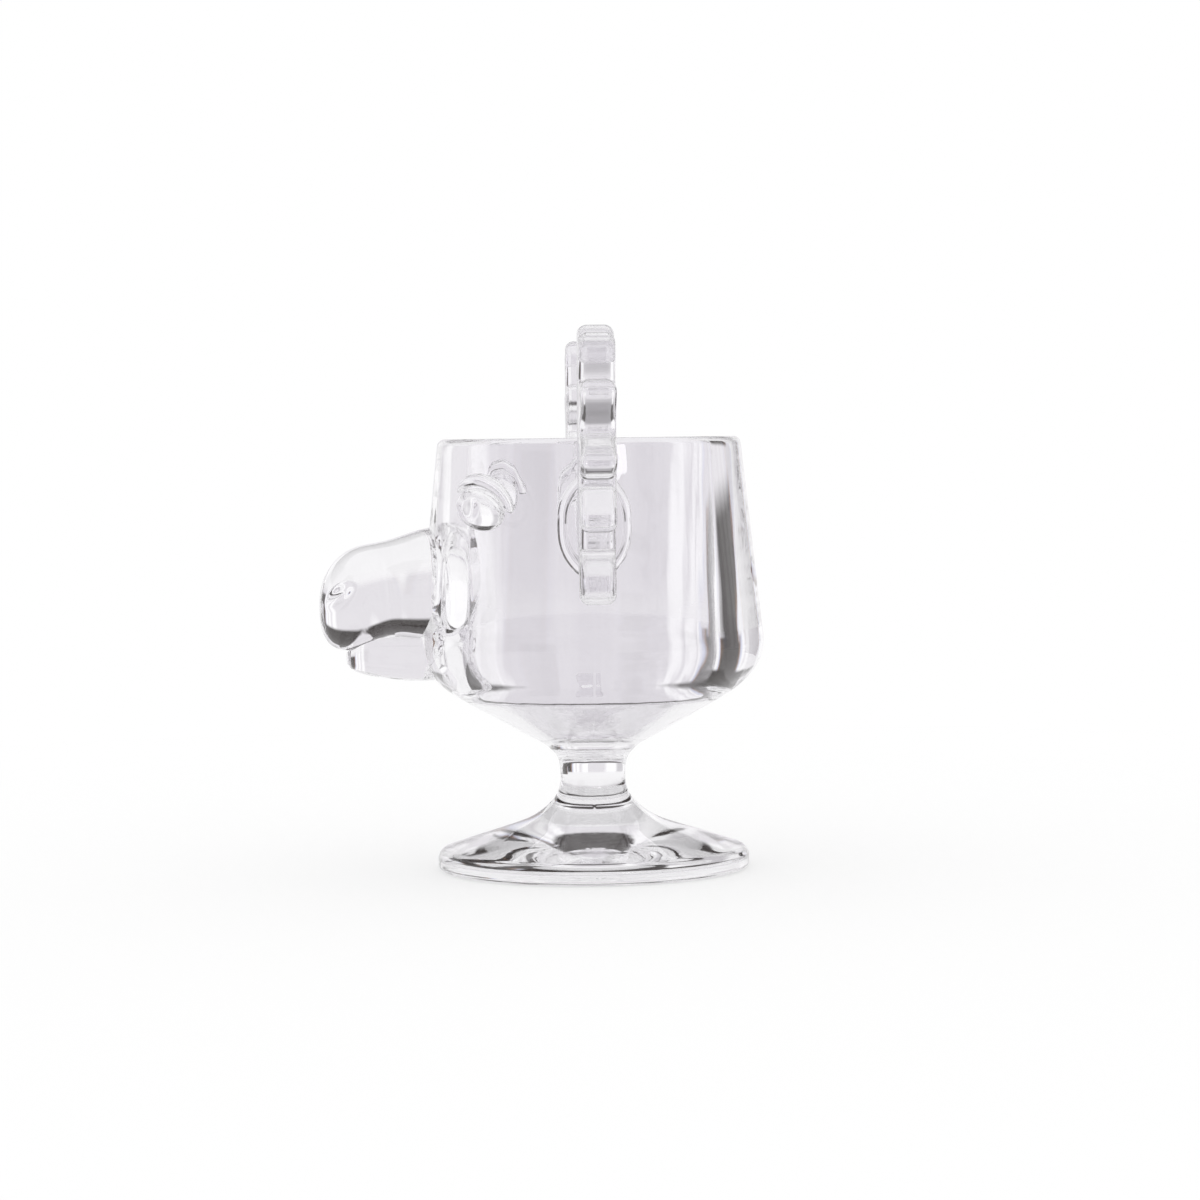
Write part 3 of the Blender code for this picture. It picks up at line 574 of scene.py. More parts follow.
def turned_piece(name, line):
    """Turns one line on the lathe and keeps the result as a plain mesh."""
    zones = [zone for point, zone in line]
    values = {"radius": [], "height": [], "ripple": [], "seam": []}
    for i, (point, zone) in enumerate(line):
        seat = zone != zones[i - 1] and JOINED in (zone, zones[i - 1])
        free = zone in (INSIDE, RIM, OUTSIDE) and point.x > AXIS_CLEAR and not seat
        values["radius"].append(point.x - (SKIN if free and zone != INSIDE else 0.0))
        values["height"].append(point.y)
        values["ripple"].append(free * (1.0 if zone == INSIDE else OUTSIDE_RIPPLE))
        values["seam"].append(1.0 if free and zone == OUTSIDE else 0.0)
    mesh = bpy.data.meshes.new(name)
    mesh.from_pydata([(0.0, 0.0, i) for i in range(len(line))], [], [])
    for label, numbers in values.items():
        mesh.attributes.new(label, "FLOAT", "POINT").data.foreach_set("value", numbers)
    mesh.attributes.new("zone", "INT", "POINT").data.foreach_set("value", zones)
    piece = add_piece(name, mesh)
    lathe = piece.modifiers.new("lathe", "NODES")
    lathe.node_group = LATHE
    lathe[STEPS_SOCKET] = TURN_STEPS[name]
    piece.data = settled(piece)
    piece.modifiers.clear()
    piece.data.attributes.remove(piece.data.attributes["zone"])
    tidy_shell(piece.data)
    print(name, "turned:", len(piece.data.polygons), "faces")


for name, line in LINES.items():
    turned_piece(name, line)

# %% [markdown]
# ## Melting a piece on
#
# Each applied piece starts as a closed form that reaches a little way into what carries it. Three boolean
# cuts then make the joint. The first cuts the piece back to the carrier's surface. The other two cut the
# piece's outline into the carrier's surface, where the faces inside that outline become the carrier's
# side of the joint.

# %% Boolean helpers
WELD_DISTANCE = 0.0005 * MM


def combined(base, tool, operation):
    """What a boolean leaves of two meshes. Each face keeps the finish of the surface that it came from."""
    holders = [placed("holder", mesh) for mesh in (base, tool)]
    modifier = holders[0].modifiers.new("melt", "BOOLEAN")
    modifier.operation = operation
    modifier.object = holders[1]
    modifier.solver = "EXACT"
    modifier.material_mode = "TRANSFER"
    mesh = settled(holders[0])
    for holder in holders:
        bpy.data.objects.remove(holder)
    return mesh


def joined(meshes):
    """Several meshes as one, with their finishes."""
    finishes = []
    made = bpy.data.meshes.new("joined")
    with reshaped(made) as shell:
        for mesh in meshes:
            first = len(shell.faces)
            shell.from_mesh(mesh)
            shell.faces.ensure_lookup_table()
            for face in shell.faces[first:]:
                finish = mesh.materials[face.material_index]
                if finish not in finishes:
                    finishes.append(finish)
                face.material_index = finishes.index(finish)
    for finish in finishes:
        made.materials.append(finish)
    return made


def without(mesh, dropped):
    """Removes the faces that have one of some finishes."""
    with reshaped(mesh) as shell:
        gone = [face for face in shell.faces if mesh.materials[face.material_index] in dropped]
        bmesh.ops.delete(shell, geom=gone, context="FACES")
    return mesh


def refinished(mesh, old, new):
    """Gives the faces of some finishes a new one."""
    for i, finish in enumerate(mesh.materials):
        if finish in old:
            mesh.materials[i] = new
    return mesh


def melt_on(host, guests, host_finishes, guest_finishes):
    """Melts guests on to a host: trims the guests, and cuts their outlines into the host's surface."""
    carrier = PIECES[host].data
    forms = [PIECES[name].data for name in guests]
    for name, form in zip(guests, forms):
        PIECES[name].data = refinished(combined(form, carrier, "DIFFERENCE"), host_finishes, JOINT)
    every = joined(forms)
    ring = without(combined(carrier, every, "DIFFERENCE"), guest_finishes)
    patch = without(combined(carrier, every, "INTERSECT"), guest_finishes)
    whole = joined([ring, refinished(patch, host_finishes, JOINT)])
    with reshaped(whole) as shell:
        bmesh.ops.remove_doubles(shell, verts=shell.verts, dist=WELD_DISTANCE)
        open_edges = sum(1 for edge in shell.edges if not edge.is_manifold)
    PIECES[host].data = whole
    print("melted on to the", host + ":", ", ".join(guests), "- open edges:", open_edges)


print("points closer than", WELD_DISTANCE / MM, "mm are welded")

# %% [markdown]
# ### How deep a melt goes
#
# A piece that reached right through the wall would show inside the bowl. So every applied form is first
# cut off a little way under the bowl's outside, against a plain solid of the same shape that is slightly
# smaller.

# %% Core of the wall
CORE_STEPS = 96
MELT_DEPTH = 1.6 * MM
# Marks the cut ends inside the wall, so that the melt can drop them
CORE = bpy.data.materials.new("melted_away")


def close_up(shell):
    """Joins points that coincide, and turns all faces outwards."""
    bmesh.ops.remove_doubles(shell, verts=shell.verts, dist=MERGE_DISTANCE)
    bmesh.ops.recalc_face_normals(shell, faces=shell.faces)


def wall_core():
    """The bowl's outside as a full solid, a melt's depth under the surface."""
    run = shoulder_run(-MELT_DEPTH)
    top = run[0] + BARREL_UP * (2 * RIM_HEIGHT - run[0].y)
    bottom = CONE_APEX + Vector((0.0, MELT_DEPTH / math.cos(CONE_ANGLE)))
    profile = [Vector((0.0, top.y)), top, *run, bottom]
    mesh = bpy.data.meshes.new("wall_core")
    with reshaped(mesh) as core:
        points = [core.verts.new((point.x, 0.0, point.y)) for point in profile]
        for a, b in zip(points, points[1:]):
            core.edges.new((a, b))
        swung = {"cent": (0, 0, 0), "axis": (0, 0, 1), "angle": 2 * math.pi, "steps": CORE_STEPS}
        bmesh.ops.spin(core, geom=core.verts[:] + core.edges[:], **swung)
        close_up(core)
    mesh.materials.append(CORE)
    return mesh


WALL_CORE = wall_core()
print("melts reach", round(MELT_DEPTH / MM, 1), "mm into the wall")

# %% [markdown]
# ## Antlers and their pads
#
# The antlers are the handles: flat slabs of pressed glass with softly rounded edges, each on an oval pad
# that was melted to the wall. A slab is easiest to draw as a flat curve with a bevel, because its outline
# stays a short list of points.

# %% Sizes of the antlers
ANTLER_HEIGHT = RIM_HEIGHT - 22.0 * MM
PAD_WIDTH = 19.0 * MM
PAD_TALL = 27.5 * MM
PAD_STAND_OFF = 4.0 * MM
PAD_EDGE_ROUND = 3.0 * MM
PAD_FACE = barrel_radius(ANTLER_HEIGHT) + PAD_STAND_OFF
PAD_ROOT = RIM_RADIUS - RIM_WALL
ANTLER_THICKNESS = 9.1 * MM
ANTLER_EDGE_ROUND = 2.4 * MM
BEAM_ROOT_TALL = 16.5 * MM
BEAM_TALL = 11.0 * MM
BEAM_LENGTH = 8.5 * MM
PALM_OUT = 23.0 * MM
PALM_UP = 20.5 * MM
PALM_WIDTH = 15.5 * MM
PALM_TALL = 38.0 * MM
PALM_LEAN = math.radians(-8.0)
PALM_INNER_ANGLES = (math.radians(146.0), math.radians(204.0))
TINE_COUNT = 5
TINE_LENGTH = 8.5 * MM
TINE_END_LENGTH = 8.0 * MM
TINE_TIP_ROUND = 0.9 * MM
TINE_FIRST_ANGLE = math.radians(-40.0)
TINE_LAST_ANGLE = math.radians(104.0)
BROW_FOOT_OUT = 15.0 * MM
BROW_OUT = 21.0 * MM
BROW_DROP = 16.5 * MM
SIDES = {"left": -1, "right": 1}
print("pads stand", round(PAD_STAND_OFF / MM, 1), "mm off the wall")

# %% [markdown]
# ### Pads
#
# A pad is an oval button of hot glass, pressed flat. The bevel adds its round outside the drawn outline,
# so the outline is drawn smaller by as much.

# %% Slabs and pads
SLAB_EDGE_STEPS = 6
PAD_POINTS = 8
PAD_RESOLUTION = 14


def slab_curve(name, outline, thickness, edge_round, resolution):
    """A flat slab with rounded edges, from the smooth loop through an outline."""
    curve = bpy.data.curves.new(name, "CURVE")
    curve.dimensions = "2D"
    curve.fill_mode = "BOTH"
    curve.resolution_u = resolution
    curve.extrude = thickness / 2 - edge_round
    curve.bevel_depth = edge_round
    curve.bevel_resolution = SLAB_EDGE_STEPS
    spline = curve.splines.new("BEZIER")
    spline.bezier_points.add(len(outline) - 1)
    spline.use_cyclic_u = True
    for point, place in zip(spline.bezier_points, outline):
        point.co = (*place, 0.0)
        point.handle_left_type = "AUTO"
        point.handle_right_type = "AUTO"
    return curve


def curve_mesh(curve, finish):
    """A curve's shape as a closed mesh with a finish."""
    source = placed(curve.name, curve)
    bpy.context.view_layer.update()
    mesh = settled(source)
    bpy.data.objects.remove(source)
    with reshaped(mesh) as shell:
        close_up(shell)
    mesh.materials.clear()
    mesh.materials.append(finish)
    return mesh


def pad_form(side):
    """An oval plate with a rounded outer edge, long enough to reach into the wall."""
    half_width = PAD_WIDTH / 2 - PAD_EDGE_ROUND
    half_tall = PAD_TALL / 2 - PAD_EDGE_ROUND
    turns = [2 * math.pi / PAD_POINTS * i for i in range(PAD_POINTS)]
    outline = [Vector((math.cos(a) * half_width, math.sin(a) * half_tall)) for a in turns]
    plate = slab_curve("pad", outline, PAD_FACE - PAD_ROOT, PAD_EDGE_ROUND, PAD_RESOLUTION)
    mesh = curve_mesh(plate, APPLIED)
    upright = Matrix.Rotation(math.pi / 2, 4, "X")
    mesh.transform(Matrix.Translation((0.0, side * (PAD_FACE + PAD_ROOT) / 2, ANTLER_HEIGHT)) @ upright)
    return mesh


print("pads", round(PAD_WIDTH / MM, 1), "by", round(PAD_TALL / MM, 1), "mm")

# %% [markdown]
# ### Antlers
#
# A moose's antler is a broad palm with a row of tines, on a short beam, with one brow tine below. The
# outline goes once round all of these, and the tines are spread over the palm by angle. The slab's root
# is cut off flat inside the pad, where the two pieces melt together.

# %% Antlers on their pads
ANTLER_RESOLUTION = 10


def palm_point(angle, reach):
    """A point round the antler's palm, at a reach beyond its edge."""
    across = math.cos(angle) * (PALM_WIDTH / 2 + reach)
    up = math.sin(angle) * (PALM_TALL / 2 + reach)
    return Matrix.Rotation(PALM_LEAN, 2) @ Vector((across, up)) + Vector((PALM_OUT, PALM_UP))


def tine_end(foot, tip):
    """Three points round the end of a tine that grows from a foot to a tip."""
    forward = (tip - foot).normalized() * TINE_TIP_ROUND
    sideways = Vector((forward.y, -forward.x))
    return [tip - forward + sideways, tip, tip - forward - sideways]


def antler_outline():
    """The slab's flat face, out from the pad and up from the root: beam, brow tine, palm and tines."""
    root = -2 * ANTLER_EDGE_ROUND
    root_tall = BEAM_ROOT_TALL / 2 - ANTLER_EDGE_ROUND
    beam_tall = BEAM_TALL / 2 - ANTLER_EDGE_ROUND
    outline = [Vector((root, -root_tall)), Vector((BEAM_LENGTH, -beam_tall))]
    outline += tine_end(Vector((BROW_FOOT_OUT, -beam_tall)), Vector((BROW_OUT, -BROW_DROP)))
    tine_step = (TINE_LAST_ANGLE - TINE_FIRST_ANGLE) / (TINE_COUNT - 1)
    for i in range(TINE_COUNT):
        angle = TINE_FIRST_ANGLE + tine_step * i
        middle = math.sin(math.pi * i / (TINE_COUNT - 1))
        length = TINE_END_LENGTH + (TINE_LENGTH - TINE_END_LENGTH) * middle
        outline.append(palm_point(angle - tine_step / 2, 0.0))
        outline += tine_end(palm_point(angle, 0.0), palm_point(angle, length))
    outline += [palm_point(angle, 0.0) for angle in PALM_INNER_ANGLES]
    return outline + [Vector((BEAM_LENGTH, beam_tall)), Vector((root, root_tall))]


def antler_form(side):
    """A rounded slab of the antler's outline, with its root cut off flat inside the pad."""
    sizes = (ANTLER_THICKNESS, ANTLER_EDGE_ROUND, ANTLER_RESOLUTION)
    mesh = curve_mesh(slab_curve("antler", antler_outline(), *sizes), SLAB)
    into_plane = Matrix(((0, 0, 1, 0), (1, 0, 0, 0), (0, 1, 0, 0), (0, 0, 0, 1)))
    mesh.transform(Matrix.Translation((0.0, PAD_FACE, ANTLER_HEIGHT)) @ into_plane)
    half_turn = Matrix.Rotation(math.pi, 3, "Z")
    with reshaped(mesh) as shell:
        every = shell.verts[:] + shell.edges[:] + shell.faces[:]
        plane = {"plane_co": (0.0, PAD_FACE - MELT_DEPTH, 0.0), "plane_no": (0, -1, 0)}
        cut = bmesh.ops.bisect_plane(shell, geom=every, clear_outer=True, **plane)["geom_cut"]
        loop = [part for part in cut if isinstance(part, bmesh.types.BMEdge)]
        bmesh.ops.contextual_create(shell, geom=loop)
        if side < 0:
            bmesh.ops.rotate(shell, verts=shell.verts, cent=(0, 0, 0), matrix=half_turn)
        bmesh.ops.recalc_face_normals(shell, faces=shell.faces)
    return mesh


for label, side in SIDES.items():
    add_piece("antler_pad_" + label, combined(pad_form(side), WALL_CORE, "DIFFERENCE"))
    add_piece("antler_" + label, antler_form(side))
    melt_on("antler_pad_" + label, ["antler_" + label], [APPLIED], [SLAB])

# %% [markdown]
# ## Muzzle and lower lip
#
# A moose has a long, heavy muzzle that droops at the end, and a smaller lower lip under it. On the mug
# they are solid gathers of glass. A sculpted mesh would do, but a loft between a few measured sections
# gives clean curves: each section is a rounded oval with its own width, height and drop.

# %% Sizes of the muzzle and lip
MUZZLE_HEIGHT = RIM_HEIGHT - 39.0 * MM
MUZZLE_LENGTH = 27.4 * MM
MUZZLE_ROOT_DEPTH = 9.0 * MM
NOSE_LENGTH = 13.0 * MM
LIP_HEIGHT = RIM_HEIGHT - 58.0 * MM
LIP_LENGTH = 18.5 * MM
LIP_ROOT_DEPTH = 10.0 * MM
LIP_TIP_LENGTH = 7.0 * MM
MOUTH_GAP = 0.8 * MM
SECTION_SQUARENESS = 2.3
TIP_SQUARENESS = 2.5
# Each row: share of the length, drop of the centre, half width, half height up and down, in mm
MUZZLE_STATIONS = (
    (-0.45, -0.5, 18.5, 16.5, 14.0),
    (0.00, 0.0, 17.0, 15.5, 13.5),
    (0.35, 1.0, 15.0, 13.6, 12.0),
    (0.70, 3.0, 15.8, 13.8, 13.6),
    (1.00, 5.0, 16.5, 13.5, 14.5),
)
LIP_STATIONS = (
    (-0.60, -1.0, 13.5, 8.0, 6.0),
    (0.00, 0.0, 12.5, 8.0, 5.5),
    (0.50, 0.0, 11.5, 8.0, 4.5),
    (1.00, -0.5, 10.0, 7.5, 3.5),
)
print("muzzle of", len(MUZZLE_STATIONS), "sections, lip of", len(LIP_STATIONS))

# %% [markdown]
# ### A loft with a round tip
#
# Between the measured sections the values follow a smooth curve, so no edge shows where one ends. At the
# front the rings close in to a point along a rounded line, as a gather of hot glass does under its own
# skin.

# %% Loft of a snout
SNOUT_RINGS = 64
SNOUT_TIP_RINGS = 28
SNOUT_POINTS = 112


def smooth_between(stations, share):
    """The values of a station table at any share of its length, on a smooth curve through the rows."""
    last = len(stations) - 1
    index = max(i for i in range(last) if i == 0 or stations[i][0] <= share)

    def slope(i, column):
        low = max(i - 1, 0)
        high = min(i + 1, last)
        return (stations[high][column] - stations[low][column]) / (stations[high][0] - stations[low][0])

    span = stations[index + 1][0] - stations[index][0]
    t = (share - stations[index][0]) / span
    values = []
    for column in range(1, len(stations[0])):
        a = stations[index][column]
        b = stations[index + 1][column]
        rise_a = slope(index, column) * span
        rise_b = slope(index + 1, column) * span
        curve = a * (2 * t**3 - 3 * t**2 + 1) + rise_a * (t**3 - 2 * t**2 + t)
        values.append((curve + b * (3 * t**2 - 2 * t**3) + rise_b * (t**3 - t**2)) * MM)
    return values


def squared(value, squareness):
    """A sine or cosine, bent so that an oval of them is squarer than an ellipse."""
    return math.copysign(abs(value) ** (2 / squareness), value)


def snout_sections(tip_share, first):
    """The loft's rings, each with its share of the length and how far it is still open."""
    sections = [(first + (1 - tip_share - first) * i / (SNOUT_RINGS - 1), 1.0) for i in range(SNOUT_RINGS)]
    for i in range(1, SNOUT_TIP_RINGS):
        angle = math.pi / 2 * i / SNOUT_TIP_RINGS
        forward = squared(math.sin(angle), TIP_SQUARENESS)
        sections.append((1 - tip_share * (1 - forward), squared(math.cos(angle), TIP_SQUARENESS)))
    return sections


def snout_form(name, stations, height, length, tip_length, root_depth, swell=0.0):
    """A rounded form lofted forward from inside the bowl's wall, with a round tip."""
    front = barrel_radius(height)
    turns = [2 * math.pi * j / SNOUT_POINTS for j in range(SNOUT_POINTS)]
    mesh = bpy.data.meshes.new(name)
    with reshaped(mesh) as shell:
        rows = []
        for share, still_open in snout_sections(tip_length / length, -root_depth / length):
            drop, half_width, up, down = smooth_between(stations, share)
            x = -(front + share * length + swell * (1 - still_open))
            row = []
            for angle in turns:
                across = squared(math.cos(angle), SECTION_SQUARENESS)
                rise = squared(math.sin(angle), SECTION_SQUARENESS)
                half_tall = up if rise > 0 else down
                y = across * (half_width * still_open + swell)
                row.append(shell.verts.new((x, y, height - drop + rise * (half_tall * still_open + swell))))
            rows.append(row)
        pairs = [(i, (i + 1) % SNOUT_POINTS) for i in range(SNOUT_POINTS)]
        for row, following in zip(rows, rows[1:]):
            for i, j in pairs:
                shell.faces.new((row[i], row[j], following[j], following[i]))
        shell.faces.new(rows[0])
        tip = shell.verts.new((-(front + length + swell), 0.0, height - smooth_between(stations, 1.0)[0]))
        for i, j in pairs:
            shell.faces.new((rows[-1][i], rows[-1][j], tip))
        bmesh.ops.recalc_face_normals(shell, faces=shell.faces)
    mesh.materials.append(APPLIED)
    return mesh


print("snouts of", SNOUT_RINGS + SNOUT_TIP_RINGS - 1, "rings with", SNOUT_POINTS, "points each")

# %% [markdown]
# ### Nostrils and mouth
#
# The nostrils are pressed in by moving points inwards, which leaves them soft at the edge as hot glass
# would be. A boolean cut would leave a sharp one. The lip is cut against a slightly swollen copy of the
# muzzle, so that an even gap stays between them as the mouth.

# %% Muzzle and lip
NOSTRIL_LENGTH = 9.5 * MM
NOSTRIL_WIDTH = 5.0 * MM
NOSTRIL_DEPTH = 2.4 * MM
NOSTRIL_BACK = 6.0 * MM
NOSTRIL_SPREAD = 13.5 * MM
NOSTRIL_RISE = 4.0 * MM
NOSTRIL_TURN = math.radians(38.0)
NOSTRIL_TILT = math.radians(-32.0)
# The press runs out this far from the nostril's middle, in half widths
NOSTRIL_FADE = 1.25
MUZZLE_SIZES = (MUZZLE_STATIONS, MUZZLE_HEIGHT, MUZZLE_LENGTH, NOSE_LENGTH, MUZZLE_ROOT_DEPTH)


def press_nostril(mesh, side):
    """Pushes the points round one nostril inwards, deepest in the middle."""
    tip = -(barrel_radius(MUZZLE_HEIGHT) + MUZZLE_LENGTH)
    height = MUZZLE_HEIGHT - smooth_between(MUZZLE_STATIONS, 1.0)[0] + NOSTRIL_RISE
    place = Matrix.Translation((tip + NOSTRIL_BACK, side * NOSTRIL_SPREAD, height))
    pressed = place @ Matrix.Rotation(side * NOSTRIL_TURN, 4, "Z") @ Matrix.Rotation(NOSTRIL_TILT, 4, "Y")
    inwards = pressed.to_3x3() @ Vector((0.0, -side, 0.0))
    back = pressed.inverted()
    for vert in mesh.vertices:
        local = back @ vert.co
        ring = math.hypot(local.x / (NOSTRIL_LENGTH / 2), local.z / (NOSTRIL_WIDTH / 2))
        if ring < NOSTRIL_FADE and abs(local.y) < 2 * NOSTRIL_WIDTH:
            share = 1 - ring / NOSTRIL_FADE
            vert.co += inwards * NOSTRIL_DEPTH * share * share * (3 - 2 * share)


muzzle_form = snout_form("muzzle", *MUZZLE_SIZES)
for side in SIDES.values():
    press_nostril(muzzle_form, side)
add_piece("muzzle", combined(muzzle_form, WALL_CORE, "DIFFERENCE"))
mouth = snout_form("mouth", *MUZZLE_SIZES, swell=MOUTH_GAP)
lip_form = snout_form("lip", LIP_STATIONS, LIP_HEIGHT, LIP_LENGTH, LIP_TIP_LENGTH, LIP_ROOT_DEPTH)
lip_form = combined(lip_form, mouth, "DIFFERENCE")
add_piece("lower_lip", combined(lip_form, WALL_CORE, "DIFFERENCE"))
print("muzzle and lip:", [len(PIECES[name].data.polygons) for name in ("muzzle", "lower_lip")], "faces")

# %% [markdown]
# ## Eyes and eyelids
#
# Each eye is an oval bead of glass with a shallow round dimple, under a crescent lid that thins towards
# both corners. The bead is a sphere pressed flat, and the lid a tube along an arc: simple forms, but fine
# enough to catch the light as drops of glass do. Both are made flat and then set against the sloping
# wall.

# %% Sizes of the eyes
EYE_HEIGHT = RIM_HEIGHT - 18.0 * MM
EYE_ANGLE = math.radians(47.0)
EYE_LONG = 16.0 * MM
EYE_TALL = 10.5 * MM
EYE_DOME = 4.0 * MM
EYE_TILT = math.radians(16.0)
EYE_SEGMENTS = {"u_segments": 96, "v_segments": 64}
IRIS_RADIUS = 2.7 * MM
IRIS_DEPTH = 0.7 * MM
# The dimple's soft edge runs out this far from its middle, in iris radii
IRIS_FADE = 1.2
LID_THICKNESS = 3.6 * MM
LID_TIP_THICKNESS = 1.6 * MM
LID_SPAN = math.radians(150.0)
LID_LIFT = 0.5 * MM
LID_CLEAR = 0.3 * MM
LID_STEPS = 72
LID_ROUND_STEPS = 8
# The share of the lid that its rounded ends take, and the least that they close to
LID_END_SHARE = 0.04
LID_END_LEAST = 0.04


def wall_frame(side):
    """A frame on the barrel's wall at an eye: x runs along the eye, y up the wall and z out of it."""
    out_tilt = math.atan2(BARREL_OUT.y, BARREL_OUT.x)
    level = Vector((-math.cos(EYE_ANGLE), side * math.sin(EYE_ANGLE), 0.0))
    out = level * math.cos(out_tilt) + Vector((0.0, 0.0, math.sin(out_tilt)))
    along = Vector((0.0, 0.0, 1.0)).cross(out).normalized()
    origin = level * barrel_radius(EYE_HEIGHT) + Vector((0.0, 0.0, EYE_HEIGHT))
    axes = Matrix((along, out.cross(along), out)).transposed().to_4x4()
    return Matrix.Translation(origin) @ axes @ Matrix.Rotation(side * EYE_TILT, 4, "Z")


print("eyes", round(EYE_HEIGHT / MM, 1), "mm above the table")

# %% [markdown]
# ### Bead and lid
#
# The dimple fades out softly, as a mark pressed into hot glass does. The lid's tube gets a thickness at
# each step of its arc, which falls to nearly nothing at both ends.

# %% Eyes and lids
def eye_form(side):
    """An oval bead that starts inside the wall, with a shallow round dimple."""
    mesh = bpy.data.meshes.new("eye")
    with reshaped(mesh) as shape:
        bmesh.ops.create_uvsphere(shape, radius=1.0, **EYE_SEGMENTS)
        for vert in shape.verts:
            vert.co = (vert.co.x * EYE_LONG / 2, vert.co.y * EYE_TALL / 2, vert.co.z * EYE_DOME)
            ring = math.hypot(vert.co.x, vert.co.y) / (IRIS_FADE * IRIS_RADIUS)
            if ring < 1 and vert.co.z > 0:
                share = 1 - ring * ring
                vert.co.z -= IRIS_DEPTH * share * share
        bmesh.ops.transform(shape, matrix=wall_frame(side), verts=shape.verts)
    mesh.materials.append(APPLIED)
    return mesh


def lid_form(side):
    """A crescent that follows the eye's upper edge and thins towards both rounded ends."""
    place = wall_frame(side)
    curve = bpy.data.curves.new("lid", "CURVE")
    curve.dimensions = "3D"
    curve.bevel_depth = LID_THICKNESS / 2
    curve.bevel_resolution = LID_ROUND_STEPS
    curve.use_fill_caps = True
    spline = curve.splines.new("POLY")
    spline.points.add(LID_STEPS)
    clear = LID_THICKNESS / 2 + LID_CLEAR
    taper = LID_TIP_THICKNESS / LID_THICKNESS
    for i, point in enumerate(spline.points):
        share = i / LID_STEPS
        angle = math.pi / 2 + LID_SPAN * (share - 0.5)
        along = math.cos(angle) * (EYE_LONG / 2 + clear)
        up = math.sin(angle) * (EYE_TALL / 2 + clear)
        sag = along * along / (2 * barrel_radius(EYE_HEIGHT))
        point.co = (*(place @ Vector((along, up, LID_LIFT - sag))), 1.0)
        end = min(share, 1 - share) / LID_END_SHARE
        rounded = math.sqrt(max(LID_END_LEAST, 1 - (1 - min(end, 1)) ** 2))
        point.radius = (taper + (1 - taper) * math.sin(math.pi * share)) * rounded
    return curve_mesh(curve, APPLIED)


for label, side in SIDES.items():
    add_piece("eye_" + label, combined(eye_form(side), WALL_CORE, "DIFFERENCE"))
    add_piece("eyelid_" + label, combined(lid_form(side), WALL_CORE, "DIFFERENCE"))
print("eye and lid:", [len(PIECES[name].data.polygons) for name in ("eye_left", "eyelid_left")], "faces")

# %% [markdown]
# ## Melting the face and the pads on to the bowl
#
# On the real mug each gather was pressed on to the hot bowl and fused with it. All the pieces are melted
# on in one go here, because every cut into the bowl's fine surface takes time, and one shared cut leaves
# it cleaner.

# %% Melt the applied pieces on to the bowl
APPLIED_PIECES = ["muzzle", "lower_lip"]
for label in SIDES:
    APPLIED_PIECES += ["antler_pad_" + label, "eye_" + label, "eyelid_" + label]
melt_on("bowl", APPLIED_PIECES, [FLAMED, FIRED, PLUNGED], [APPLIED, SLAB, CORE])

# %% [markdown]
# ## Smooth shading and places in the frame
#
# Every piece is shaded smooth, with only real corners kept sharp. The antlers' flat faces also need
# weighted normals, or the round of the edge would seem to run on across the face. Then each piece takes
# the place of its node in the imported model, and rides on the mug's one body.

# %% Finish every piece
FLAT_FACE_WEIGHT = 100
for name, piece in PIECES.items():
    piece.data = joined([piece.data])
    tidy_shell(piece.data)
    if "antler" in name:
        weighted = piece.modifiers.new("flat_faces", "WEIGHTED_NORMAL")
        weighted.keep_sharp = True
        weighted.weight = FLAT_FACE_WEIGHT
        mesh = settled(piece)
        piece.modifiers.clear()
        piece.data = mesh
    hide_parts(name)
    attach(piece, "root")
print("triangles:", sum(len(poly.vertices) - 2 for piece in PIECES.values() for poly in piece.data.polygons))

# %% [markdown]
# ## Light caught in thick glass
#
# Light that gets into a thick rim or foot is mirrored inside it many times before it finds a way out. A
# renderer gives up after a few bounces and shows black there, which real glass doesn't do. A higher limit
# costs little time, because few paths need it.

# %% Room for light to bounce
LIGHT_BOUNCES = 48
cycles = bpy.context.scene.cycles
for limit in ("max_bounces", "glossy_bounces", "transmission_bounces", "transparent_max_bounces"):
    setattr(cycles, limit, LIGHT_BOUNCES)
print("light is followed through", LIGHT_BOUNCES, "bounces")

# %% [markdown]
# ## A white surround and a floor
#
# Glass is often photographed on white card that runs up behind it without an edge. Here the surround is
# plain white, and a round floor fades out into it. A square floor would show its edge through the glass.
# The floor takes the mug's shadow, but the camera, and the glass that bends or mirrors it, see it partly
# as plain white, so the shadow stays as faint as on a card that is lit from all sides.

# %% White surround and floor
world = bpy.data.worlds.new("white_surround")
bpy.context.scene.world = world
world.use_nodes = True
world.node_tree.nodes["Background"].inputs["Color"].default_value = WHITE
FLOOR_RADIUS = 0.7
FLOOR_SIDES = 96
FLOOR_DROP = 0.3 * MM
FLOOR_ROUGHNESS = 0.9
# How much of plain white is mixed into what is seen of the floor
FLOOR_LIFT = 0.6
# Distances from the mug, in metres, where the fade begins and is full
FLOOR_FADE = {"From Min": 0.3, "From Max": 0.55}
RANGE = "ShaderNodeMapRange"
SOFT = {"interpolation_type": "SMOOTHSTEP"}

floor_mesh = bpy.data.meshes.new("floor")
turns = [2 * math.pi * i / FLOOR_SIDES for i in range(FLOOR_SIDES)]
floor_rim = [(FLOOR_RADIUS * math.cos(a), FLOOR_RADIUS * math.sin(a), -FLOOR_DROP) for a in turns]
floor_mesh.from_pydata(floor_rim, [], [list(range(FLOOR_SIDES))])
floor = placed("floor", floor_mesh)
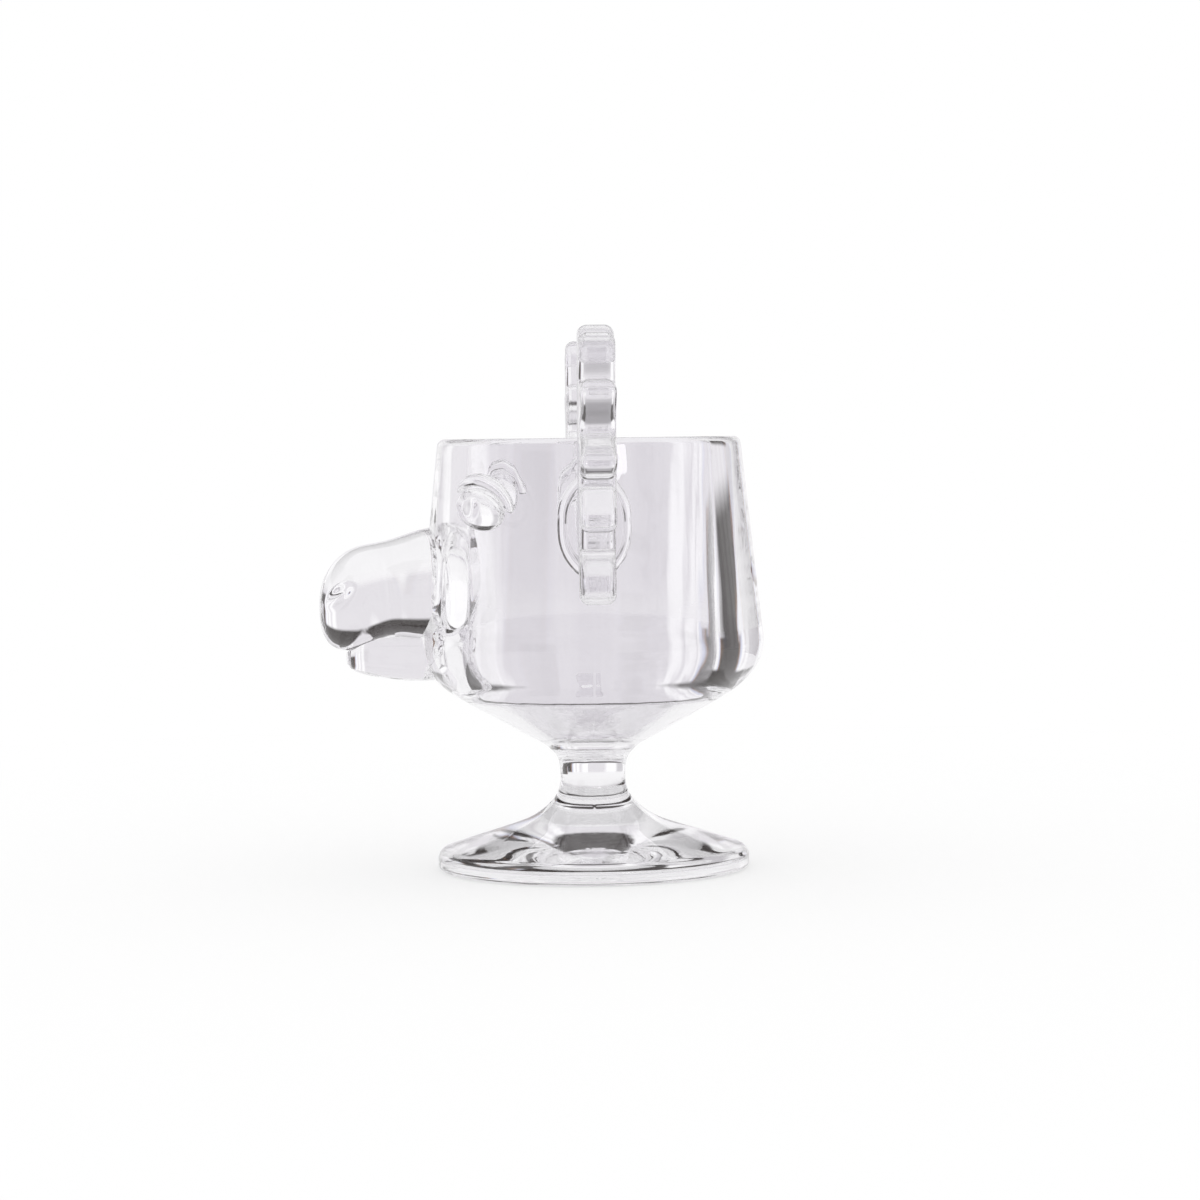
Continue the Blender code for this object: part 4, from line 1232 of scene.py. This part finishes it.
# Matt card: white, with no shine of its own
paper = bpy.data.materials.new("white_card_floor")
paper.use_nodes = True
tree = paper.node_tree
sheet = tree.nodes["Principled BSDF"]
sheet.inputs["Base Color"].default_value = WHITE
sheet.inputs["Roughness"].default_value = FLOOR_ROUGHNESS
sheet.inputs["Specular IOR Level"].default_value = 0.0
path = node(tree, "ShaderNodeLightPath").outputs
seen = node(tree, MATH, {0: path["Is Camera Ray"], 1: path["Is Glossy Ray"]}, operation="MAXIMUM")
seen = node(tree, MATH, {0: seen, 1: path["Is Transmission Ray"]}, operation="MAXIMUM")
lift = node(tree, MATH, {0: seen, 1: FLOOR_LIFT}, operation="MULTIPLY")
plain = node(tree, "ShaderNodeEmission", {"Color": WHITE, "Strength": 1.0})
lifted = node(tree, "ShaderNodeMixShader", {0: lift, 1: sheet, 2: plain})
place = node(tree, "ShaderNodeTexCoord").outputs["Object"]
distance = node(tree, VECTOR_MATH, {0: place}, operation="LENGTH").outputs["Value"]
fade = node(tree, RANGE, {"Value": distance, **FLOOR_FADE}, **SOFT)
beyond = node(tree, "ShaderNodeBsdfTransparent")
faded = node(tree, "ShaderNodeMixShader", {0: fade, 1: lifted, 2: beyond})
tree.links.new(faded.outputs[0], tree.nodes["Material Output"].inputs["Surface"])
floor_mesh.materials.append(paper)
print("floor of", FLOOR_RADIUS, "m, fading into the surround")

# %% [markdown]
# ## Walls that only the glass sees
#
# Clear glass has no look of its own: it shows what stands round it, and in a plain white room it
# vanishes. So a photographer hangs strips and cards round the table, out of the picture, and the thick
# walls bend them into the lines that draw the mug's edges. Each one here is a piece of a round wall. The
# camera looks through it at plain white, and it casts no shadow.

# %% Studio walls
WALL_STEP = 2.5


def studio_wall(name, radius, bearings, heights):
    """A curved wall that only the glass sees. Bearings are in degrees from the far side, clockwise."""
    start, end = bearings
    steps = math.ceil((end - start) / WALL_STEP)
    turns = [math.radians(start + (end - start) * i / steps) for i in range(steps + 1)]
    points = [(radius * math.sin(a), radius * math.cos(a), z) for a in turns for z in heights]
    mesh = bpy.data.meshes.new(name)
    mesh.from_pydata(points, [], [(2 * i, 2 * i + 1, 2 * i + 3, 2 * i + 2) for i in range(steps)])
    mesh.shade_smooth()
    wall = placed(name, mesh)
    wall.visible_camera = False
    wall.visible_diffuse = False
    wall.visible_shadow = False
    material = bpy.data.materials.new(name)
    material.use_nodes = True
    material.node_tree.nodes.clear()
    mesh.materials.append(material)
    return material.node_tree


def place_on_wall(tree):
    """The X, Y and Z of a place on a wall."""
    place = node(tree, "ShaderNodeTexCoord").outputs["Object"]
    return node(tree, "ShaderNodeSeparateXYZ", {0: place}).outputs


def finish_wall(tree, colour, solid, strength=1.0):
    """Ends a wall's tree: it shines in a colour where it is solid, and is open elsewhere."""
    light = node(tree, "ShaderNodeEmission", {"Color": colour, "Strength": strength})
    opening = node(tree, "ShaderNodeBsdfTransparent")
    cover = node(tree, "ShaderNodeMixShader", {0: solid, 1: opening, 2: light})
    node(tree, "ShaderNodeOutputMaterial", {"Surface": cover})


print("studio walls in steps of", WALL_STEP, "degrees")

# %% [markdown]
# ## A tent of bright and dark strips
#
# A pale tent stands round the mug. Its strips have blue and amber edges, because thick glass splits light
# a little, and colouring the strips is far quicker than splitting the light. A dark valance hangs high at
# the far side, for the lines in the foot and under the muzzle.

# %% Tent with bright and dark strips
TENT_RADIUS = 2.0
TENT_HEIGHTS = (-0.9, 2.6)
# A lit strip, a little brighter than white
BRIGHT = (1.1, 1.1, 1.1, 1.0)
PALE = hex_colour("ECEAED")
SHADED = hex_colour("D2D0D3")
BLUE_EDGE = hex_colour("D3D8EC")
AMBER_EDGE = hex_colour("8A6B52")
DARK = hex_colour("332D2B")
# Each row: bearing in degrees and colour. The rows cover one quarter of the tent, which is mirrored round it
STRIPS = (
    (-45, SHADED), (-38, SHADED), (-31, BRIGHT), (-17, BRIGHT), (-12, PALE),
    (12, PALE), (14, BRIGHT), (16, BRIGHT), (18, PALE), (20, BRIGHT), (22, BRIGHT), (23.5, PALE),
    (25, BRIGHT), (27, BRIGHT), (29.5, BLUE_EDGE), (31.5, AMBER_EDGE), (33.5, DARK), (45, DARK),
)
# Heights in metres where something begins and is full
STRIPS_BEGIN = {"From Min": -0.16, "From Max": -0.06}
VALANCE_BEGINS = {"From Min": 0.69, "From Max": 0.84}
TENT_ENDS = {"From Min": 2.5, "From Max": 2.0}
# How far behind the mug, in metres, the valance begins and is full
VALANCE_BEHIND = {"From Min": 0.2, "From Max": 0.8}
MIX = "ShaderNodeMix"
COLOURS = {"data_type": "RGBA"}
tree = studio_wall("tent_strips", TENT_RADIUS, (-180, 180), TENT_HEIGHTS)
spot = place_on_wall(tree)
bearing = node(tree, MATH, {0: spot["X"], 1: spot["Y"]}, operation="ARCTAN2")
twice = node(tree, MATH, {0: bearing, 1: 2.0}, operation="MULTIPLY")
swing = node(tree, MATH, {0: twice}, operation="SINE")
share = node(tree, RANGE, {"Value": swing, "From Min": -1.0})
stops = [((1 + math.sin(math.radians(2 * degrees))) / 2, colour) for degrees, colour in STRIPS]
hung = node(tree, "ShaderNodeValToRGB", {"Fac": share}, stops)
low = node(tree, MIX, {0: 1.0, 6: hung, 7: PALE}, blend_type="LIGHTEN", **COLOURS).outputs[2]
strips_here = node(tree, RANGE, {"Value": spot["Z"], **STRIPS_BEGIN}, **SOFT)
pattern = node(tree, MIX, {0: strips_here, 6: low, 7: hung}, **COLOURS).outputs[2]
high = node(tree, RANGE, {"Value": spot["Z"], **VALANCE_BEGINS}, **SOFT)
behind = node(tree, RANGE, {"Value": spot["Y"], **VALANCE_BEHIND}, **SOFT)
valance_here = node(tree, MATH, {0: high, 1: behind}, operation="MULTIPLY")
dimmed = node(tree, MIX, {0: valance_here, 6: pattern, 7: DARK}, **COLOURS).outputs[2]
finish_wall(tree, dimmed, node(tree, RANGE, {"Value": spot["Z"], **TENT_ENDS}, **SOFT))
print("tent of", TENT_RADIUS, "m with", len(STRIPS), "bands in each quarter")

# %% [markdown]
# ## A dark card at the right
#
# A strip far away is seen all over the glass, but a card close by is seen only by the glass that bends
# light its way. So a low dark card at the right draws the dark band down the bowl's side.

# %% Dark card at the right
CARD_RADIUS = 0.28
CARD_BEARINGS = (36.0, 68.0)
CARD_HEIGHTS = (0.0, 0.066)
CARD_FADE = {"From Min": 0.066, "From Max": 0.05}
QUARTER = 90.0
# The card's blue and amber edge is painted split light, standing in for how thick glass splits light at the
# edge of the dark band
# Each row: bearing in degrees and the card's colour there, whose last number is how solid the card is
CARD_STOPS = (
    (37.5, (*BLUE_EDGE[:3], 0.0)), (39.0, (*BLUE_EDGE[:3], 0.6)), (40.5, AMBER_EDGE), (42.0, DARK),
    (61.0, DARK), (65.0, (*DARK[:3], 0.0)),
)
tree = studio_wall("dark_card", CARD_RADIUS, CARD_BEARINGS, CARD_HEIGHTS)
spot = place_on_wall(tree)
bearing = node(tree, MATH, {0: spot["X"], 1: spot["Y"]}, operation="ARCTAN2")
share = node(tree, MATH, {0: bearing, 1: math.radians(QUARTER)}, operation="DIVIDE")
stops = [(degrees / QUARTER, colour) for degrees, colour in CARD_STOPS]
tone = node(tree, "ShaderNodeValToRGB", {"Fac": share}, stops).outputs
card_here = node(tree, RANGE, {"Value": spot["Z"], **CARD_FADE}, **SOFT)
solid = node(tree, MATH, {0: tone["Alpha"], 1: card_here}, operation="MULTIPLY")
finish_wall(tree, tone["Color"], solid)
print("dark card", round(CARD_HEIGHTS[1] / MM), "mm tall,", CARD_RADIUS, "m from the mug")

# %% [markdown]
# ## Two cards behind the far antler
#
# The antlers' steep edges would fill with the dark valance. A small pale card close behind the far
# antler's lowest tine, and a grey one higher up, stand in its way there and leave the rest of the glass
# as it is.

# %% Two cards behind the far antler
TINE_CARD_RADIUS = 72.2 * MM
TINE_CARD_BEARINGS = (-7.0, 7.0)
TINE_CARD_HEIGHTS = (0.074, 0.0905)
GREY_RADIUS = 0.09
GREY = hex_colour("A9A7AA")
GREY_BEARINGS = (-28.0, 28.0)
GREY_HEIGHTS = (0.135, 0.24)
GREY_BEGINS = {"From Min": 0.14, "From Max": 0.18}
GREY_ENDS = {"From Min": 0.24, "From Max": 0.2}
tree = studio_wall("pale_card", TINE_CARD_RADIUS, TINE_CARD_BEARINGS, TINE_CARD_HEIGHTS)
finish_wall(tree, PALE, 1.0)
tree = studio_wall("grey_card", GREY_RADIUS, GREY_BEARINGS, GREY_HEIGHTS)
spot = place_on_wall(tree)
grey_here = node(tree, RANGE, {"Value": spot["Z"], **GREY_BEGINS}, **SOFT)
tone = node(tree, MIX, {0: grey_here, 6: PALE, 7: GREY}, **COLOURS).outputs[2]
finish_wall(tree, tone, node(tree, RANGE, {"Value": spot["Z"], **GREY_ENDS}, **SOFT))
print("cards behind the far antler, up to", round(GREY_HEIGHTS[1] / MM), "mm")

# %% [markdown]
# ## A lamp beside the camera
#
# A lamp beside the camera puts one white glint on the bowl. A Blender light would brighten the floor too,
# so the lamp is a bright piece of wall that shows only where the glass mirrors it.

# %% Lamp beside the camera
LAMP_RADIUS = 1.9
LAMP_BEARINGS = (153.5, 162.0)
LAMP_HEIGHTS = (0.478, 0.62)
LAMP_STRENGTH = 7.0
tree = studio_wall("strip_lamp", LAMP_RADIUS, LAMP_BEARINGS, LAMP_HEIGHTS)
bpy.data.objects["strip_lamp"].visible_transmission = False
finish_wall(tree, WHITE, 1.0, LAMP_STRENGTH)
print("lamp", LAMP_RADIUS, "m away, beside the camera")

# %% [markdown]
# ## Camera
#
# The photograph looks at the mug's left side from rim height, a little downwards, with a long lens. The
# numbers come from fitting the outline of the bowl and foot to the picture.

# %% Camera
AZIMUTH = math.radians(-1.7)
CAMERA_DISTANCE = 0.895
CAMERA_HEIGHT = RIM_HEIGHT
SIDE_STEP = 2.44 * MM
PITCH = math.radians(2.744)
ROLL = math.radians(0.7)
FOCAL_PIXELS = 3390
IMAGE_PIXELS = 1200
SENSOR = 36.0
CLIP_START = 0.01
to_right = Vector((math.cos(AZIMUTH), math.sin(AZIMUTH), 0.0))
to_viewer = Vector((math.sin(AZIMUTH), -math.cos(AZIMUTH), 0.0))
backwards = to_viewer * math.cos(PITCH) + Vector((0.0, 0.0, math.sin(PITCH)))
lens = bpy.data.cameras.new("camera")
lens.sensor_width = SENSOR
lens.lens = FOCAL_PIXELS / IMAGE_PIXELS * SENSOR
lens.clip_start = CLIP_START
camera = placed("camera", lens)
position = to_viewer * CAMERA_DISTANCE + to_right * SIDE_STEP + Vector((0.0, 0.0, CAMERA_HEIGHT))
axes = Matrix((to_right, backwards.cross(to_right), backwards)).transposed()
camera.matrix_world = Matrix.Translation(position) @ axes.to_4x4() @ Matrix.Rotation(-ROLL, 4, "Z")
bpy.context.scene.camera = camera
print("lens", round(lens.lens, 1), "mm at", CAMERA_DISTANCE, "m")
